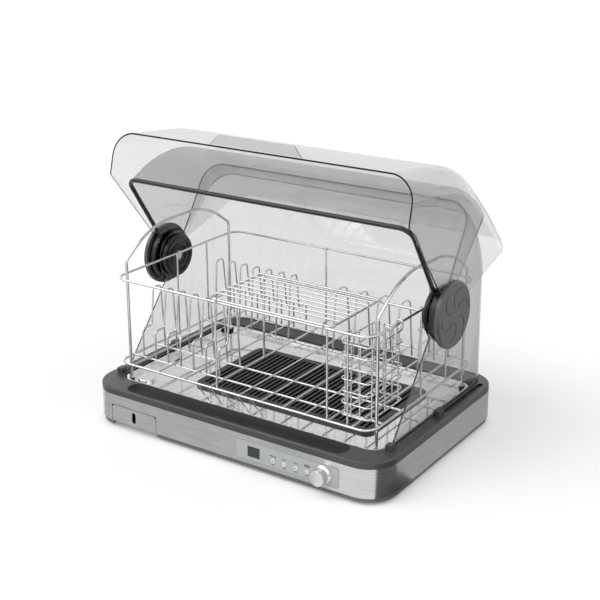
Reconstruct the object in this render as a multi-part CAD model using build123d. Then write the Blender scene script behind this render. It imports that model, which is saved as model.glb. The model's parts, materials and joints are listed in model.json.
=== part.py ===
from build123d import *
import os
from math import cos, sin, sqrt, radians

# Dish dryer: a low base with fan, heater and water drawer, a wire dish rack on its drip tray,
# and a smoked lid in three shells, of which the front one swings back on two side hubs.
# Millimetres. X to the right, Y to the back, Z up, origin under the middle of the base.

# Base: plan size and stack of heights
base_width = 550.0
base_depth = 380.0
base_corner = 48.0
foot_height = 4.0
foot_radius = 13.0
foot_inset = 52.0
skirt_height = 7.0
skirt_inset = 2.0
band_height = 46.0
band_wall = 1.2
rim_height = 11.0
rim_edge_round = 3.0
pan_wall = 2.5
pan_floor = 2.5
seat_gap = 0.3
cut_over = 1.0

# Nested widths, each side set in from the side of the piece before: base, visor, hood, cover, tray
visor_inset = 2.0
hood_inset = 11.0
cover_inset = 8.0
tray_inset = 6.0

# Drip tray and the opening in the rim that it drops into
tray_rim_depth = 40.0
tray_corner = 26.0
tray_flange = 4.0
tray_sheet = 1.0
tray_depth = 8.0
tray_below_rim = 2.0
plug_radius = 15.0
plug_height = 5.0
plug_edge = 1.5
plug_slot = 3.0
plug_slot_length = 24.0
plug_slot_turn = -35.0
plug_from_corner = 28.0

# Trough in the front of the rim
trough_radius = 26.0
trough_depth = 6.5
trough_side_inset = 85.0
trough_inset = 22.0

# Drip channels in the rim beside the rear cover
channel_length = 128.0
channel_width = 9.0
channel_depth = 3.0
channel_from_back = 102.0
channel_offset = 8.0

# Air grille in the tray floor
grille_margin_left = 113.0
grille_margin_right = 53.0
grille_margin_ends = 60.0
grille_corner = 12.0
grille_collar = 3.0
grille_height = 5.0
grille_edge = 1.0
slat_pitch = 9.0
slat_gap = 5.0

# Water drawer in the front wall
drawer_from_side = 47.0
drawer_width = 91.0
drawer_front_height = 28.0
drawer_front_sheet = 2.0
drawer_corner = 5.0
drawer_gap = 0.8
drawer_box_depth = 138.0
drawer_wall = 2.0
drawer_side_inset = 4.0
finger_pocket = 14.0
finger_slot_width = 7.5
finger_slot_height = 19.0
finger_slot_low = 4.5
runner_width = 5.0
runner_lip = 2.0

# Control panel, display, buttons and knob in the front wall
panel_from_side = 69.0
panel_width = 185.0
panel_height = 33.0
panel_rise = 5.0
panel_corner = 4.0
panel_proud = 0.4
panel_fit = 0.2
display_from_left = 23.0
display_width = 22.0
display_height = 17.0
display_rise = 7.5
display_flange = 1.5
button_from_left = 69.5
button_pitch = 20.3
button_count = 4
button_rise = 12.0
button_radius = 3.4
button_hole_gap = 0.35
button_proud = 0.9
button_edge = 0.5
button_flange = 1.4
button_flange_sheet = 1.2
button_travel = 0.8
switch_size = 6.0
knob_from_left = 157.0
knob_rise = 15.5
knob_radius = 12.0
knob_flare = 15.0
knob_length = 17.0
knob_flare_length = 4.0
knob_gap = 0.6
knob_wall = 2.0
knob_edge = 0.8
knob_mark = 1.2
knob_mark_length = 5.0
shaft_radius = 3.0
shaft_fit = 0.05
encoder_size = 13.0
encoder_bush = 4.8
board_sheet = 1.6
board_inset = 3.0
control_board_gap = 6.5

# Fan, heater and duct under the grille
fan_x = 82.0
fan_y = 0.0
fan_radius = 56.0
fan_blades = 7
blade_height = 12.0
blade_sheet = 2.0
blade_twist = 35.0
fan_tip_gap = 2.0
fan_hub_radius = 20.0
fan_hub_round = 3.0
fan_hub_cap = 2.0
fan_shaft_radius = 3.0
housing_wall = 2.5
motor_radius = 18.0
motor_height = 13.0
motor_gap = 1.5
motor_edge = 1.5
motor_base = 2.0
spider_sheet = 2.0
spider_arm = 7.5
spider_turns = (0, 120, 240)
heater_height = 9.0
heater_border = 6.0
heater_fin_pitch = 5.0
heater_fin_sheet = 1.0
heater_bar = 12.0
heater_bar_places = (-0.6, 0.0, 0.6)
duct_wall = 2.0
intake_slot = 4.0
intake_slot_pitch = 9.0
filter_sheet = 1.5
power_board_width = 120.0
power_board_depth = 46.0
power_board_from_back = 52.0
power_board_from_side = 125.0
power_coil = (26.0, 24.0, 20.0)
power_relay = (16.0, 16.0, 15.0)
power_can_radius = 6.0
power_can_height = 22.0
power_part_offset = 32.0
standoff_height = 6.0
standoff_radius = 4.0
screw_radius = 1.5
screw_head_radius = 3.0
screw_head_height = 2.0
screw_length = 6.0
screw_fit = 0.05
inlet_x = -120.0
inlet_width = 26.0
inlet_height = 20.0
inlet_corner = 4.0
inlet_flange = 2.5
inlet_sheet = 1.6
inlet_wall = 3.0
inlet_body_depth = 14.0
inlet_pin = (2.0, 5.0)
inlet_pin_offset = 5.0

# Lid: hub axis and the three shells, the moving one drawn closed and then swung open
hub_y = 10.0
hub_height = 167.0
open_angle = 104.0
lid_sheet = 2.5
rest_gap = 0.5
visor_setback = 0.5
visor_side_length = 70.5
visor_wall_lean = 7.5
visor_clearance = 6.36026
visor_shoulder_radius = 160.0
visor_shoulder_turn = 31.5
visor_crown_radius = 767.0
visor_crown_turn = 13.4
visor_overrun_turn = 3.0
visor_corner = 40.0
visor_ear = 46.0
handle_half_length = 84.0
handle_slope = 15.0
handle_reach = 16.0
handle_sheet = 3.0
handle_tip_round = 7.0
hood_step = 13.0
hood_front_angle = 123.0
hood_rear_angle = 44.0
hood_corner_step = 19.0
hood_ear = 44.0
hood_lip_angle = 1.0
hood_overrun_turn = 15.0
bar_radius = 3.5
cover_back_inset = 6.0
cover_top_angle = 57.0
cover_corner = 38.0
cover_foot_inset = 24.0
cover_ear = 42.0
cover_overrun = 60.0
cover_overrun_turn = 20.0
cover_groove_depth = 4.0
cover_groove_gap = 0.5
pin_radius = 8.0
pin_fit = 0.05
hub_cover_radius = 52.0
hub_cover_height = 8.0
hub_cover_bevel = 2.5
hub_groove_count = 6
hub_groove_width = 2.2
hub_groove_depth = 1.0
hub_groove_radius = 17.0
hub_groove_start = 8.0
hub_groove_turn = 150.0
spacer_radius = 45.0
collar_radius = 30.0
inner_hub_radius = 36.0
inner_hub_height = 5.5
inner_ridge = 1.5
inner_ridge_places = (20.0, 31.0)
clip_width = 10.0
clip_length = 12.0
clip_height = 9.0
latch_y = 9.0
latch_length = 16.0

# Wire rack: wire radii, plan places and heights
arch_wire = 2.5
rail_wire = 2.0
upright_wire = 1.6
floor_wire = 1.5
divider_wire = 1.5
thin_wire = 1.2
comb_wire = 1.0
weld_gap = 0.05
arch_shoulder_height = 208.0
arch_top_height = 252.0
arch_top_inset = 62.0
arch_shoulder_bend = 10.0
arch_top_bend = 150.0
rack_foot_radius = 4.5
rack_foot_height = 5.0
rack_foot_gap = 0.45
rack_foot_turn = 40.0
rail_overhang = 24.0
upper_rail_height = 185.0
lower_ring_height = 42.0
upright_offset = 7.0
corner_upright_offset = 12.0
side_upright_places = (-8.0, 72.0)
side_wire_heights = (97.0, 124.0, 150.0)
bay_split_x = -47.0
right_bay_from_split = 56.0
right_bay_from_arch = 25.0
right_bay_wires = 6
left_bay_from_arch = 31.0
left_bay_wires = 4
cross_outer_inset = 12.0
divider_span = 54.0
divider_from_arch = 18.0
divider_from_split = 13.0
divider_count = 7
divider_step_height = 92.0
divider_top_height = 154.0
divider_tread = 22.0
divider_lean = 7.0
divider_bend = 6.0
peg_from_split = 76.0
peg_from_arch = 45.0
peg_count = 5
peg_top_height = 146.0
peg_lean = 10.0
peg_bend = 14.0
comb_from_split = 35.0
comb_pitch = 26.0
comb_teeth = 5
comb_bend = 2.0
shelf_over_split = 1.0
shelf_from_arch = 62.0
shelf_rear_y = -20.0
shelf_frame_wire = 1.8
shelf_corner = 10.0
shelf_slats = 8
shelf_slat_inset = 18.0
shelf_post_bend = 12.0
hook_inset = 14.0
hook_drop = 9.0
hook_bend = 2.5
basket_width = 50.0
basket_length = 96.0
basket_from_arch = 4.0
basket_from_rail = 10.0
basket_low_height = 54.0
basket_loops = 7
basket_pitch = 18.5
basket_corner = 8.0
basket_hook_offsets = (36.0, 70.0)

# Heights that follow from the sizes above
floor_low = foot_height
floor_top = floor_low + pan_floor
band_low = foot_height + skirt_height
band_high = band_low + band_height
rim_top = band_high + rim_height
shelf_top = band_low + pan_floor
tray_top = rim_top - tray_below_rim
tray_ledge = tray_top - tray_sheet
tray_floor_top = tray_top - tray_depth
tray_floor_low = tray_floor_top - tray_sheet
drawer_high = band_low + drawer_front_height
panel_low = band_low + panel_rise
display_low = panel_low + display_rise
button_z = panel_low + button_rise
knob_z = panel_low + knob_rise
hub_z = rim_top + hub_height
visor_low = rim_top + rest_gap
cover_low = rim_top - cover_groove_depth
rack_post_low = tray_floor_top + rack_foot_height
arch_shoulder_z = tray_floor_top + arch_shoulder_height
arch_top_z = tray_floor_top + arch_top_height
upper_rail_z = tray_floor_top + upper_rail_height
lower_ring_z = tray_floor_top + lower_ring_height
floor_wire_z = lower_ring_z + rail_wire + floor_wire + weld_gap
cross_wire_z = floor_wire_z - 2 * floor_wire - weld_gap
standing_z = cross_wire_z + floor_wire + weld_gap
divider_step_z = tray_floor_top + divider_step_height
divider_top_z = tray_floor_top + divider_top_height
peg_top_z = tray_floor_top + peg_top_height
shelf_frame_z = upper_rail_z + rail_wire + shelf_frame_wire + weld_gap
shelf_slat_z = shelf_frame_z + shelf_frame_wire + thin_wire + weld_gap
basket_low_z = tray_floor_top + basket_low_height

# Places across and along the base that follow from the sizes above
front_y = -base_depth / 2
visor_half_width = base_width / 2 - visor_inset
hood_half_width = visor_half_width - hood_inset
cover_half_width = hood_half_width - cover_inset
tray_half_width = cover_half_width - tray_inset
tray_half_depth = base_depth / 2 - tray_rim_depth
tray_pan_half_width = tray_half_width - seat_gap - tray_flange
tray_pan_half_depth = tray_half_depth - seat_gap - tray_flange
tray_pan_corner = tray_corner - tray_flange
plug_x = -tray_pan_half_width + plug_from_corner
plug_y = -tray_pan_half_depth + plug_from_corner
trough_half_length = base_width / 2 - trough_side_inset
channel_middle_y = base_depth / 2 - channel_from_back
grille_width = 2 * tray_half_width - grille_margin_left - grille_margin_right
grille_depth = 2 * (tray_half_depth - grille_margin_ends)
grille_center_x = (grille_margin_left - grille_margin_right) / 2
drawer_left = -base_width / 2 + drawer_from_side
drawer_right = drawer_left + drawer_width
panel_left = base_width / 2 - panel_from_side - panel_width
display_left = panel_left + display_from_left
button_first_x = panel_left + button_from_left
knob_x = panel_left + knob_from_left
power_board_x = base_width / 2 - power_board_from_side
power_board_y = base_depth / 2 - power_board_from_back

# Lid curves that follow from the sizes above
cover_back_y = base_depth / 2 - cover_back_inset
cover_radius = cover_back_y - hub_y
cover_foot_y = -tray_half_depth + cover_foot_inset
hood_radius = cover_radius + hood_step
hood_corner = visor_corner - hood_corner_step
visor_front_y = front_y + visor_setback
visor_side_end_y = visor_front_y + visor_side_length

# The visor's front wall is as long as its crown needs to clear the hood, in the wall's own two directions
wall_slant = radians(visor_wall_lean)
crown_slant = radians(visor_shoulder_turn)
crown_step = visor_crown_radius - visor_shoulder_radius
hub_behind_wall = (hub_y - visor_front_y) * cos(wall_slant) + (hub_z - visor_low) * sin(wall_slant)
hub_up_wall = (hub_z - visor_low) * cos(wall_slant) - (hub_y - visor_front_y) * sin(wall_slant)
crown_behind_hub = visor_shoulder_radius + crown_step * cos(crown_slant) - hub_behind_wall
crown_reach = visor_crown_radius - hood_radius - lid_sheet - visor_clearance
crown_below_hub = sqrt(crown_reach ** 2 - crown_behind_hub ** 2)
visor_wall_length = hub_up_wall + crown_step * sin(crown_slant) - crown_below_hub

# Rack places that follow from the sizes above: its feet nest in the corners of the tray
foot_reach = tray_pan_corner - tray_sheet - rack_foot_radius - rack_foot_gap
arch_half_width = tray_pan_half_width - tray_pan_corner + foot_reach * cos(radians(rack_foot_turn))
post_y = tray_pan_half_depth - tray_pan_corner + foot_reach * sin(radians(rack_foot_turn))
arch_top_y = post_y - arch_top_inset
rail_half_depth = post_y + rail_overhang
rail_corner = rail_overhang - arch_wire
side_rail_x = arch_half_width + arch_wire + rail_wire + weld_gap
wire_end_x = side_rail_x - rail_wire - weld_gap
side_upright_x = wire_end_x - upright_wire
left_bay_first_x = -arch_half_width + left_bay_from_arch
left_bay_pitch = (bay_split_x - left_bay_first_x) / (left_bay_wires - 1)
right_bay_first_x = bay_split_x + right_bay_from_split
right_bay_last_x = arch_half_width - right_bay_from_arch
right_bay_pitch = (right_bay_last_x - right_bay_first_x) / (right_bay_wires - 1)
upright_places = (
    bay_split_x + upright_offset,
    right_bay_last_x - right_bay_pitch - upright_offset,
    right_bay_last_x - corner_upright_offset,
)
cross_outer_y = post_y - cross_outer_inset
cross_inner_y = cross_outer_y - divider_span
divider_first_x = -arch_half_width + divider_from_arch
divider_pitch = (bay_split_x - divider_from_split - divider_first_x) / (divider_count - 1)
peg_first_x = bay_split_x + peg_from_split
peg_pitch = (arch_half_width - peg_from_arch - peg_first_x) / (peg_count - 1)
comb_first_x = bay_split_x - comb_from_split
shelf_left = bay_split_x - shelf_over_split
shelf_right = arch_half_width - shelf_from_arch
basket_right = arch_half_width - basket_from_arch
basket_left = basket_right - basket_width
basket_front_y = -rail_half_depth + basket_from_rail
basket_rear_y = basket_front_y + basket_length


def block(x_low, x_high, y_low, y_high, z_low, z_high):
    size = Box(x_high - x_low, y_high - y_low, z_high - z_low)
    return Pos((x_low + x_high) / 2, (y_low + y_high) / 2, (z_low + z_high) / 2) * size


def slab(half_width, half_depth, corner, z_low, z_high):
    plan = RectangleRounded(2 * half_width, 2 * half_depth, corner)
    return Pos(0, 0, z_low) * extrude(plan, amount=z_high - z_low)


def base_slab(inset, z_low, z_high):
    return slab(base_width / 2 - inset, base_depth / 2 - inset, base_corner - inset, z_low, z_high)


def front_plate(outline, y_front, sheet):
    return extrude(Plane.XZ.offset(-y_front - sheet) * outline, amount=sheet)


def front_disc(x, z, radius, y_front, length):
    return front_plate(Pos(x, z) * Circle(radius), y_front, length)


def upright_disc(x, y, radius, z_low, z_high):
    return Pos(x, y, z_low) * extrude(Circle(radius), amount=z_high - z_low)


def side_disc(side, radius, x_near, x_far, y=hub_y, z=hub_z):
    disc = extrude(Plane.YZ.offset(x_near) * Pos(y, z) * Circle(radius), amount=x_far - x_near)
    return disc if side > 0 else mirror(disc, about=Plane.YZ)


def rod(start, end, radius):
    start, end = Vector(start), Vector(end)
    section = Plane(origin=start, z_dir=end - start) * Circle(radius)
    return extrude(section, amount=(end - start).length)


def bent_wire(points, radius, bend):
    path = FilletPolyline(*points, radius=bend)
    section = Plane(origin=path @ 0, z_dir=path % 0) * Circle(radius)
    return sweep(section, path=path)


def ring_wire(x_low, x_high, y_low, y_high, z, radius, corner):
    # A closed loop of wire with rounded corners, lying level
    plan = Pos((x_low + x_high) / 2, (y_low + y_high) / 2, z)
    path = plan * RectangleRounded(x_high - x_low, y_high - y_low, corner).wire()
    section = Plane(origin=path @ 0, z_dir=path % 0) * Circle(radius)
    return sweep(section, path=path)


def group(pieces):
    return Compound([solid for piece in pieces for solid in piece.solids()])


def polar(radius, angle):
    return (hub_y + radius * cos(radians(angle)), hub_z + radius * sin(radians(angle)))


# Base
def make_feet():
    places = GridLocations(base_width - 2 * foot_inset, base_depth - 2 * foot_inset, 2, 2)
    foot = extrude(Circle(foot_radius), amount=foot_height)
    return [place * foot for place in places]


def drawer_mouth(depth):
    gap = drawer_gap
    return block(drawer_left - gap, drawer_right + gap, front_y - cut_over, front_y + depth,
                 floor_low - cut_over, drawer_high + gap)


def panel_outline(grow):
    plate = RectangleRounded(panel_width + 2 * grow, panel_height + 2 * grow, panel_corner + grow)
    return Pos(panel_left + panel_width / 2, panel_low + panel_height / 2) * plate


def inlet_outline(grow):
    plate = RectangleRounded(inlet_width + 2 * grow, inlet_height + 2 * grow, inlet_corner + grow)
    return Pos(inlet_x, (shelf_top + band_high) / 2) * plate


def back_plate(outline, y_back, sheet):
    return front_plate(outline, y_back - sheet, sheet)


def intake_slots():
    span = fan_radius - 2 * intake_slot
    count = int(2 * span / intake_slot_pitch)
    slots = []
    for index in range(count):
        offset = (index - (count - 1) / 2) * intake_slot_pitch
        length = 2 * (span ** 2 - offset ** 2) ** 0.5
        if length > 3 * intake_slot:
            slots.append(Pos(fan_x + offset, fan_y) * SlotOverall(length, intake_slot, rotation=90))
    return slots


def standoff_places():
    places = GridLocations(power_board_width - 4 * standoff_radius,
                           power_board_depth - 4 * standoff_radius, 2, 2)
    return [(power_board_x + p.position.X, power_board_y + p.position.Y) for p in places]


def make_bottom_pan():
    pan = base_slab(skirt_inset, floor_low, shelf_top) + base_slab(band_wall, band_low, band_high)
    pan -= base_slab(skirt_inset + pan_wall, floor_top, shelf_top)
    pan -= base_slab(band_wall + pan_wall, shelf_top, band_high)
    pan -= drawer_mouth(skirt_inset + finger_pocket)
    pan -= front_plate(panel_outline(-panel_corner / 2), front_y, 2 * (band_wall + pan_wall))
    pan -= back_plate(inlet_outline(0), -front_y, 2 * (band_wall + pan_wall))
    pan -= [Pos(0, 0, floor_low) * extrude(slot, amount=pan_floor) for slot in intake_slots()]
    for x, y in standoff_places():
        pan += upright_disc(x, y, standoff_radius, floor_top, floor_top + standoff_height)
        pan -= upright_disc(x, y, screw_radius + screw_fit, floor_top, floor_top + standoff_height)
    return pan


def make_steel_band():
    band = base_slab(0, band_low, band_high) - base_slab(band_wall, band_low, band_high)
    band -= drawer_mouth(2 * band_wall)
    band -= front_plate(panel_outline(panel_fit), front_y - cut_over, cut_over + band_wall)
    band -= back_plate(inlet_outline(0), -front_y + cut_over, cut_over + 2 * band_wall)
    return band


def cover_footprint(grow):
    # Plan of the rear cover's wall: square in front, round at the two back corners
    front, back = cover_foot_y - grow, cover_back_y + grow
    half, corner = cover_half_width + grow, cover_corner + grow
    middle = Pos(0, (front + back - corner) / 2) * Rectangle(2 * half, back - corner - front)
    tail = Pos(0, back - corner) * SlotOverall(2 * half, 2 * corner)
    return middle + tail


def make_top_rim():
    rim = base_slab(0, band_high, rim_top)
    outer_edges = rim.edges().group_by(Axis.Z)[-1]
    rim = fillet(outer_edges, rim_edge_round)
    rim -= slab(tray_half_width, tray_half_depth, tray_corner, tray_ledge, rim_top)
    rim -= slab(tray_pan_half_width + seat_gap, tray_pan_half_depth + seat_gap,
                tray_pan_corner + seat_gap, band_high, tray_ledge)
    gap = cover_groove_gap
    groove = cover_footprint(gap) - cover_footprint(-lid_sheet - gap)
    groove -= Pos(0, cover_foot_y) * Rectangle(2 * (cover_half_width - lid_sheet - gap), base_depth / 2)
    rim -= Pos(0, 0, cover_low) * extrude(groove, amount=cover_groove_depth)
    channel = SlotOverall(channel_length, channel_width, rotation=90)
    for side in (-1, 1):
        place = Pos(side * (cover_half_width + channel_offset), channel_middle_y, rim_top - channel_depth)
        rim -= place * extrude(channel, amount=channel_depth)
    trough_y = front_y + trough_inset
    trough_z = rim_top + trough_radius - trough_depth
    left, right = (-trough_half_length, trough_y, trough_z), (trough_half_length, trough_y, trough_z)
    rim -= rod(left, right, trough_radius)
    rim -= [Pos(*end) * Sphere(trough_radius) for end in (left, right)]
    return rim


def make_drip_tray():
    flange = slab(tray_half_width - seat_gap, tray_half_depth - seat_gap, tray_corner - seat_gap,
                  tray_ledge, tray_top)
    tray = flange + slab(tray_pan_half_width, tray_pan_half_depth, tray_pan_corner,
                         tray_floor_low, tray_top)
    tray -= slab(tray_pan_half_width - tray_sheet, tray_pan_half_depth - tray_sheet,
                 tray_pan_corner - tray_sheet, tray_floor_top, tray_top)
    hole = RectangleRounded(grille_width, grille_depth, grille_corner)
    tray -= Pos(grille_center_x, fan_y, tray_floor_low) * extrude(hole, amount=tray_sheet)
    tray -= upright_disc(plug_x, plug_y, plug_radius - 2 * tray_sheet, tray_floor_low, tray_floor_top)
    return tray


def make_drain_plug():
    plug = upright_disc(plug_x, plug_y, plug_radius, tray_floor_top, tray_floor_top + plug_height)
    plug = fillet(plug.edges().group_by(Axis.Z)[-1], plug_edge)
    plug += upright_disc(plug_x, plug_y, plug_radius - 2 * tray_sheet - seat_gap,
                         tray_floor_low - plug_height / 2, tray_floor_top)
    slot = Box(plug_slot_length, plug_slot, plug_slot)
    return plug - Pos(plug_x, plug_y, tray_floor_top + plug_height) * Rot(0, 0, plug_slot_turn) * slot


def make_air_grille():
    inner = RectangleRounded(grille_width - 2 * seat_gap, grille_depth - 2 * seat_gap,
                             grille_corner - seat_gap)
    flange = RectangleRounded(grille_width + 2 * grille_collar, grille_depth + 2 * grille_collar,
                              grille_corner + grille_collar)
    count = int((grille_width - 4 * grille_collar) / slat_pitch)
    slots = Sketch() + [
        Pos((index - (count - 1) / 2) * slat_pitch, 0)
        * SlotOverall(grille_depth - 6 * grille_collar, slat_gap, rotation=90)
        for index in range(count)
    ]
    bridge = Rectangle(grille_width, 2 * grille_collar)
    grille = Pos(0, 0, tray_floor_low) * extrude(inner, amount=tray_sheet)
    grille += Pos(0, 0, tray_floor_top) * extrude(flange, amount=grille_height)
    top_edges = grille.edges().group_by(Axis.Z)[-1]
    grille = fillet(top_edges, grille_edge)
    height = tray_sheet + grille_height
    grille -= Pos(0, 0, tray_floor_low) * extrude(slots - bridge, amount=height)
    return Pos(grille_center_x, fan_y) * grille


# Water drawer
def make_drawer_front():
    plate = Rectangle(drawer_width, drawer_front_height)
    plate = fillet(plate.vertices().group_by(Axis.Y)[-1], drawer_corner)
    plate = Pos(drawer_left + drawer_width / 2, band_low + drawer_front_height / 2) * plate
    slot = SlotOverall(finger_slot_height, finger_slot_width, rotation=90)
    slot_z = band_low + finger_slot_low + finger_slot_height / 2
    plate -= Pos(drawer_left + drawer_width / 2, slot_z) * slot
    return front_plate(plate, front_y, drawer_front_sheet)


def drawer_box_span():
    return drawer_left + drawer_side_inset, drawer_right - drawer_side_inset


def make_drawer_box():
    left, right = drawer_box_span()
    y_low = front_y + drawer_front_sheet
    y_high = y_low + drawer_box_depth
    z_low = shelf_top + seat_gap
    z_high = drawer_high - drawer_wall
    box = block(left, right, y_low, y_high, z_low, z_high)
    wall_y = y_low + finger_pocket
    box -= block(left + drawer_wall, right - drawer_wall, wall_y, y_high - drawer_wall,
                 z_low + drawer_wall, z_high)
    box -= block(left + drawer_wall, right - drawer_wall, y_low, wall_y - drawer_wall,
                 z_low + drawer_wall, z_high - drawer_wall)
    return box


def make_drawer_runners():
    left, right = drawer_box_span()
    y_low = front_y + skirt_inset + finger_pocket + drawer_gap
    y_high = front_y + drawer_front_sheet + drawer_box_depth
    runners = []
    for edge, outward in ((left, -1), (right, 1)):
        near = edge - outward * runner_lip
        wall = edge + outward * seat_gap
        far = wall + outward * (runner_width - runner_lip)
        foot = block(min(near, far), max(near, far), y_low, y_high, floor_top, shelf_top)
        guide = block(min(wall, far), max(wall, far), y_low, y_high, shelf_top, shelf_top + 3 * runner_lip)
        runners.append(foot + guide)
    return runners


# Controls
def button_x(index):
    return button_first_x + index * button_pitch


def display_outline(grow):
    plate = Rectangle(display_width + 2 * grow, display_height + 2 * grow)
    return Pos(display_left + display_width / 2, display_low + display_height / 2) * plate


def make_control_panel():
    plate = panel_outline(0) - display_outline(panel_fit)
    hole = Circle(button_radius + button_hole_gap)
    plate -= [Pos(button_x(index), button_z) * hole for index in range(button_count)]
    plate -= Pos(knob_x, knob_z) * Circle(encoder_bush + panel_fit)
    return front_plate(plate, front_y - panel_proud, panel_proud + band_wall)


def make_display_window():
    sheet = panel_proud + band_wall
    window = front_plate(display_outline(0), front_y - panel_proud, sheet)
    return window + front_plate(display_outline(display_flange), front_y + band_wall, band_wall)


def make_button(index):
    x = button_x(index)
    cap_front = front_y - panel_proud - button_proud
    flange_front = front_y + band_wall
    cap = front_disc(x, button_z, button_radius, cap_front, flange_front - cap_front)
    cap = fillet(cap.edges().group_by(Axis.Y)[0], button_edge)
    flange = front_disc(x, button_z, button_radius + button_flange, flange_front, button_flange_sheet)
    return cap + flange


def control_board_y():
    return front_y + band_wall + control_board_gap


def make_control_board():
    board_y = control_board_y()
    board = front_plate(panel_outline(-board_inset), board_y, board_sheet)
    switch_front = front_y + band_wall + button_flange_sheet + button_travel + seat_gap
    for index in range(button_count):
        square = Pos(button_x(index), button_z) * Rectangle(switch_size, switch_size)
        board += front_plate(square, switch_front, board_y - switch_front)
    display_front = front_y + 2 * band_wall
    return board + front_plate(display_outline(0), display_front, board_y - display_front)


def make_knob_encoder():
    square = Pos(knob_x, knob_z) * Rectangle(encoder_size, encoder_size)
    encoder_front = front_y + 2 * band_wall
    encoder = front_plate(square, encoder_front, control_board_y() - encoder_front)
    bush_front = front_y - panel_proud - seat_gap
    encoder += front_disc(knob_x, knob_z, encoder_bush, bush_front, encoder_front - bush_front)
    bore_length = control_board_y() - bush_front - board_sheet
    return encoder - front_disc(knob_x, knob_z, shaft_radius + shaft_fit, bush_front, bore_length)


def make_knob_shaft():
    tip = front_y - panel_proud - knob_length + 2 * knob_wall
    end = control_board_y() - board_sheet - seat_gap
    return front_disc(knob_x, knob_z, shaft_radius, tip, end - tip)


def make_knob():
    back = front_y - panel_proud - knob_gap
    front = front_y - panel_proud - knob_length
    neck = back - knob_flare_length
    profile = Polyline((0, front), (knob_radius, front), (knob_radius, neck), (knob_flare, back),
                       (0, back), (0, front))
    knob = Pos(knob_x, 0, knob_z) * revolve(make_face(profile), axis=Axis.Y)
    knob = fillet(knob.edges().group_by(Axis.Y)[0], knob_edge)
    tip = front + 2 * knob_wall
    knob -= front_disc(knob_x, knob_z, shaft_radius + shaft_fit, tip, back - tip)
    mark = SlotOverall(knob_mark_length, knob_mark, rotation=90)
    mark = Pos(knob_x, knob_z + knob_radius - knob_mark_length) * mark
    return knob - front_plate(mark, front, knob_mark / 2)


# Fan, heater and other inner pieces
motor_low = floor_top + filter_sheet + spider_sheet
motor_high = motor_low + motor_height
blade_low = motor_high + motor_gap
blade_high = blade_low + blade_height
duct_low = blade_high + motor_gap
heater_low = duct_low + duct_wall


def make_intake_filter():
    return upright_disc(fan_x, fan_y, fan_radius, floor_top, floor_top + filter_sheet)


def make_fan_housing():
    outer = fan_radius + fan_tip_gap + housing_wall
    ring_low = floor_top + filter_sheet
    spider_reach = outer - housing_wall / 2
    ring = upright_disc(fan_x, fan_y, outer, floor_top, duct_low)
    ring -= upright_disc(fan_x, fan_y, fan_radius + seat_gap, floor_top, ring_low)
    ring -= upright_disc(fan_x, fan_y, fan_radius + fan_tip_gap, ring_low, duct_low)
    for turn in spider_turns:
        arm = Pos(spider_reach / 2, 0) * Rectangle(spider_reach, spider_arm)
        arm = extrude(arm, amount=spider_sheet)
        ring += Pos(fan_x, fan_y, ring_low) * Rot(0, 0, turn) * arm
    return ring + upright_disc(fan_x, fan_y, motor_radius, ring_low, motor_low)


def make_fan_motor():
    motor = upright_disc(fan_x, fan_y, motor_radius, motor_low, motor_high)
    motor = chamfer(motor.edges().group_by(Axis.Z)[-1], motor_edge)
    bore = upright_disc(fan_x, fan_y, fan_shaft_radius + shaft_fit, motor_low + motor_base, motor_high)
    return motor - bore


def make_fan_shaft():
    low = motor_low + motor_base + seat_gap
    return upright_disc(fan_x, fan_y, fan_shaft_radius, low, blade_high - fan_hub_cap)


def make_fan_wheel():
    hub = upright_disc(0, 0, fan_hub_radius, blade_low, blade_high)
    wheel = fillet(hub.edges().group_by(Axis.Z)[-1], fan_hub_round)
    root = fan_hub_radius - blade_sheet
    middle = (fan_radius + root) / 2
    blade = Box(fan_radius - root, blade_height / cos(radians(blade_twist)) - 2 * blade_sheet, blade_sheet)
    for index in range(fan_blades):
        turn = Rot(0, 0, index * 360 / fan_blades)
        place = Pos(middle, 0, (blade_low + blade_high) / 2) * Rot(90 - blade_twist, 0, 0)
        wheel += turn * place * blade
    wheel &= upright_disc(0, 0, fan_radius, blade_low, blade_high)
    wheel -= upright_disc(0, 0, fan_shaft_radius + shaft_fit, blade_low, blade_high - fan_hub_cap)
    return Pos(fan_x, fan_y) * wheel


def duct_plan(inset):
    return RectangleRounded(grille_width - 2 * inset, grille_depth - 2 * inset, grille_corner)


def make_air_duct():
    duct = Pos(0, 0, duct_low) * extrude(duct_plan(grille_collar), amount=tray_floor_low - duct_low)
    inner = extrude(duct_plan(grille_collar + duct_wall), amount=tray_floor_low - heater_low)
    duct -= Pos(0, 0, heater_low) * inner
    duct = Pos(grille_center_x, fan_y) * duct
    return duct - upright_disc(fan_x, fan_y, fan_radius + fan_tip_gap, duct_low, heater_low)


def heater_half_size():
    half_width = grille_width / 2 - grille_collar - duct_wall - seat_gap
    half_depth = grille_depth / 2 - grille_collar - duct_wall - seat_gap
    return half_width, half_depth


def make_heater_frame():
    half_width, half_depth = heater_half_size()
    frame = Rectangle(2 * half_width, 2 * half_depth)
    frame = fillet(frame.vertices(), grille_corner)
    frame -= Rectangle(2 * (half_width - heater_border), 2 * (half_depth - heater_border))
    return Pos(grille_center_x, fan_y, heater_low) * extrude(frame, amount=heater_height)


def make_heater_fins():
    half_width, half_depth = heater_half_size()
    half_width -= heater_border
    half_depth -= heater_border
    bar = Box(2 * half_width, heater_bar, heater_height / 3)
    fins = Part() + [Pos(0, place * half_depth) * bar for place in heater_bar_places]
    count = int(2 * half_width / heater_fin_pitch)
    fin = Box(heater_fin_sheet, 2 * half_depth, heater_height - 1)
    fins += [Pos((index - (count - 1) / 2) * heater_fin_pitch, 0) * fin for index in range(count)]
    return Pos(grille_center_x, fan_y, heater_low + heater_height / 2) * fins


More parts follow.
